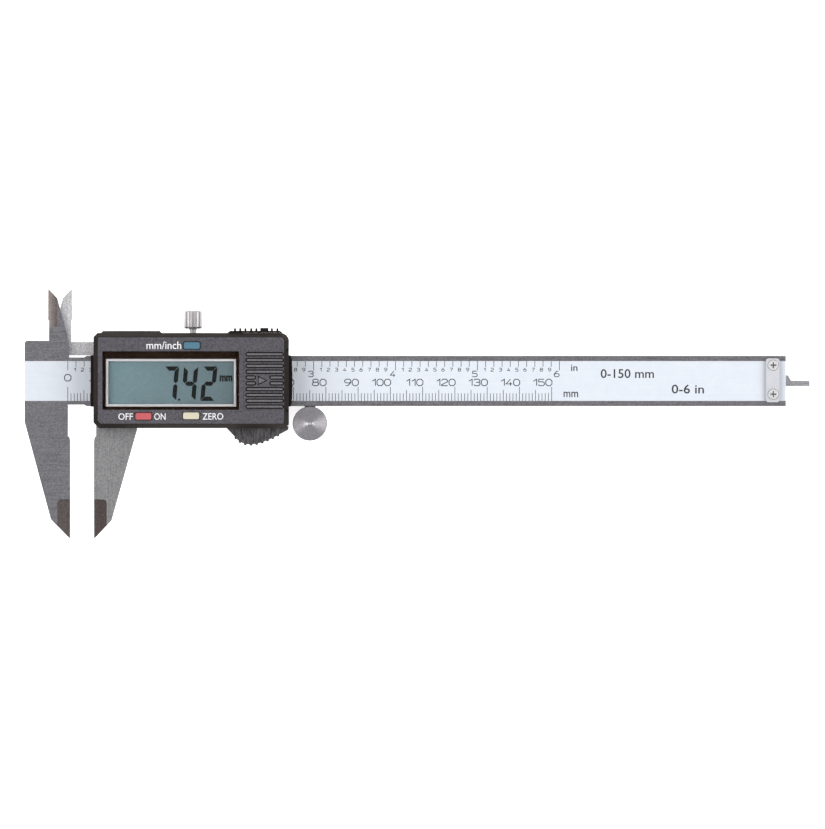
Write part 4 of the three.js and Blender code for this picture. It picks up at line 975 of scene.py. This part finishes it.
def floor():
    """A pale floor with a little light of its own, as on a light table."""
    bm = bmesh.new()
    corners = [(-FLOOR_HALF, -FLOOR_HALF), (FLOOR_HALF, -FLOOR_HALF), (FLOOR_HALF, FLOOR_HALF),
               (-FLOOR_HALF, FLOOR_HALF)]
    bm.faces.new([bm.verts.new((x, y, cad_low.z - FLOOR_GAP)) for x, y in corners])
    mesh = mesh_from(bm, "floor")
    made, nodes, links, shader = material("pale_floor")
    shader.inputs["Roughness"].default_value = 0.9
    shader.inputs["Specular IOR Level"].default_value = 0.1
    fibres = noise(nodes, links, coordinates(nodes, links), 300, 2)
    links.new(ramp(nodes, links, fibres, [(0.3, 0.955), (0.7, 0.97)]), shader.inputs["Base Color"])
    shader.inputs["Emission Color"].default_value = (1, 1, 1, 1)
    shader.inputs["Emission Strength"].default_value = 0.8
    mesh.materials.append(made)
    ground = bpy.data.objects.new("floor", mesh)
    scene.collection.objects.link(ground)
    if ground.data.polygons[0].normal.z < 0:
        ground.data.flip_normals()


def softbox(name, side):
    """A soft lamp on one side, -1 or 1, aimed at the middle."""
    data = bpy.data.lights.new(name, "AREA")
    data.shape = "RECTANGLE"
    data.size, data.size_y = SOFTBOX["size"]
    data.energy = SOFTBOX["power"]
    lamp = bpy.data.objects.new(name, data)
    lamp.location = (side * SOFTBOX["out"], SOFTBOX["along"], SOFTBOX["height"])
    lamp.rotation_euler = (-lamp.location).to_track_quat("-Z", "Y").to_euler()
    scene.collection.objects.link(lamp)


def world():
    made = bpy.data.worlds.new("studio")
    made.use_nodes = True
    scene.world = made
    nodes, links = made.node_tree.nodes, made.node_tree.links
    where = nodes.new("ShaderNodeTexCoord")
    split = nodes.new("ShaderNodeSeparateXYZ")
    links.new(where.outputs["Generated"], split.inputs[0])
    rise = nodes.new("ShaderNodeMapRange")
    rise.interpolation_type = "SMOOTHSTEP"
    rise.inputs["From Min"].default_value = 0.25
    rise.inputs["From Max"].default_value = 0.92
    rise.inputs["To Min"].default_value = SKY["rim"]
    rise.inputs["To Max"].default_value = SKY["top"]
    links.new(split.outputs["Z"], rise.inputs["Value"])
    links.new(rise.outputs["Result"], nodes["Background"].inputs["Strength"])
    nodes["Background"].inputs["Color"].default_value = (1, 1, 1, 1)


def camera():
    data = bpy.data.cameras.new("camera")
    data.sensor_width = 36
    data.lens = CAMERA_LENS
    data.clip_start = 0.05
    data.clip_end = 50
    eye = bpy.data.objects.new("camera", data)
    eye.location = (*AIM, CAMERA_HEIGHT)
    scene.collection.objects.link(eye)
    scene.camera = eye


def stage():
    scene.view_settings.view_transform = "Standard"
    floor()
    world()
    softbox("softbox_left", -1)
    softbox("softbox_right", 1)
    camera()


beam()
slider_frame()
end_plate()
thumb_roller()
lock_screw()
front_case()
battery_cover()
small_plastics()
glazing()
rod()
remaining_nodes()
scale_print()
label_words()
reading()
legends()
stage()
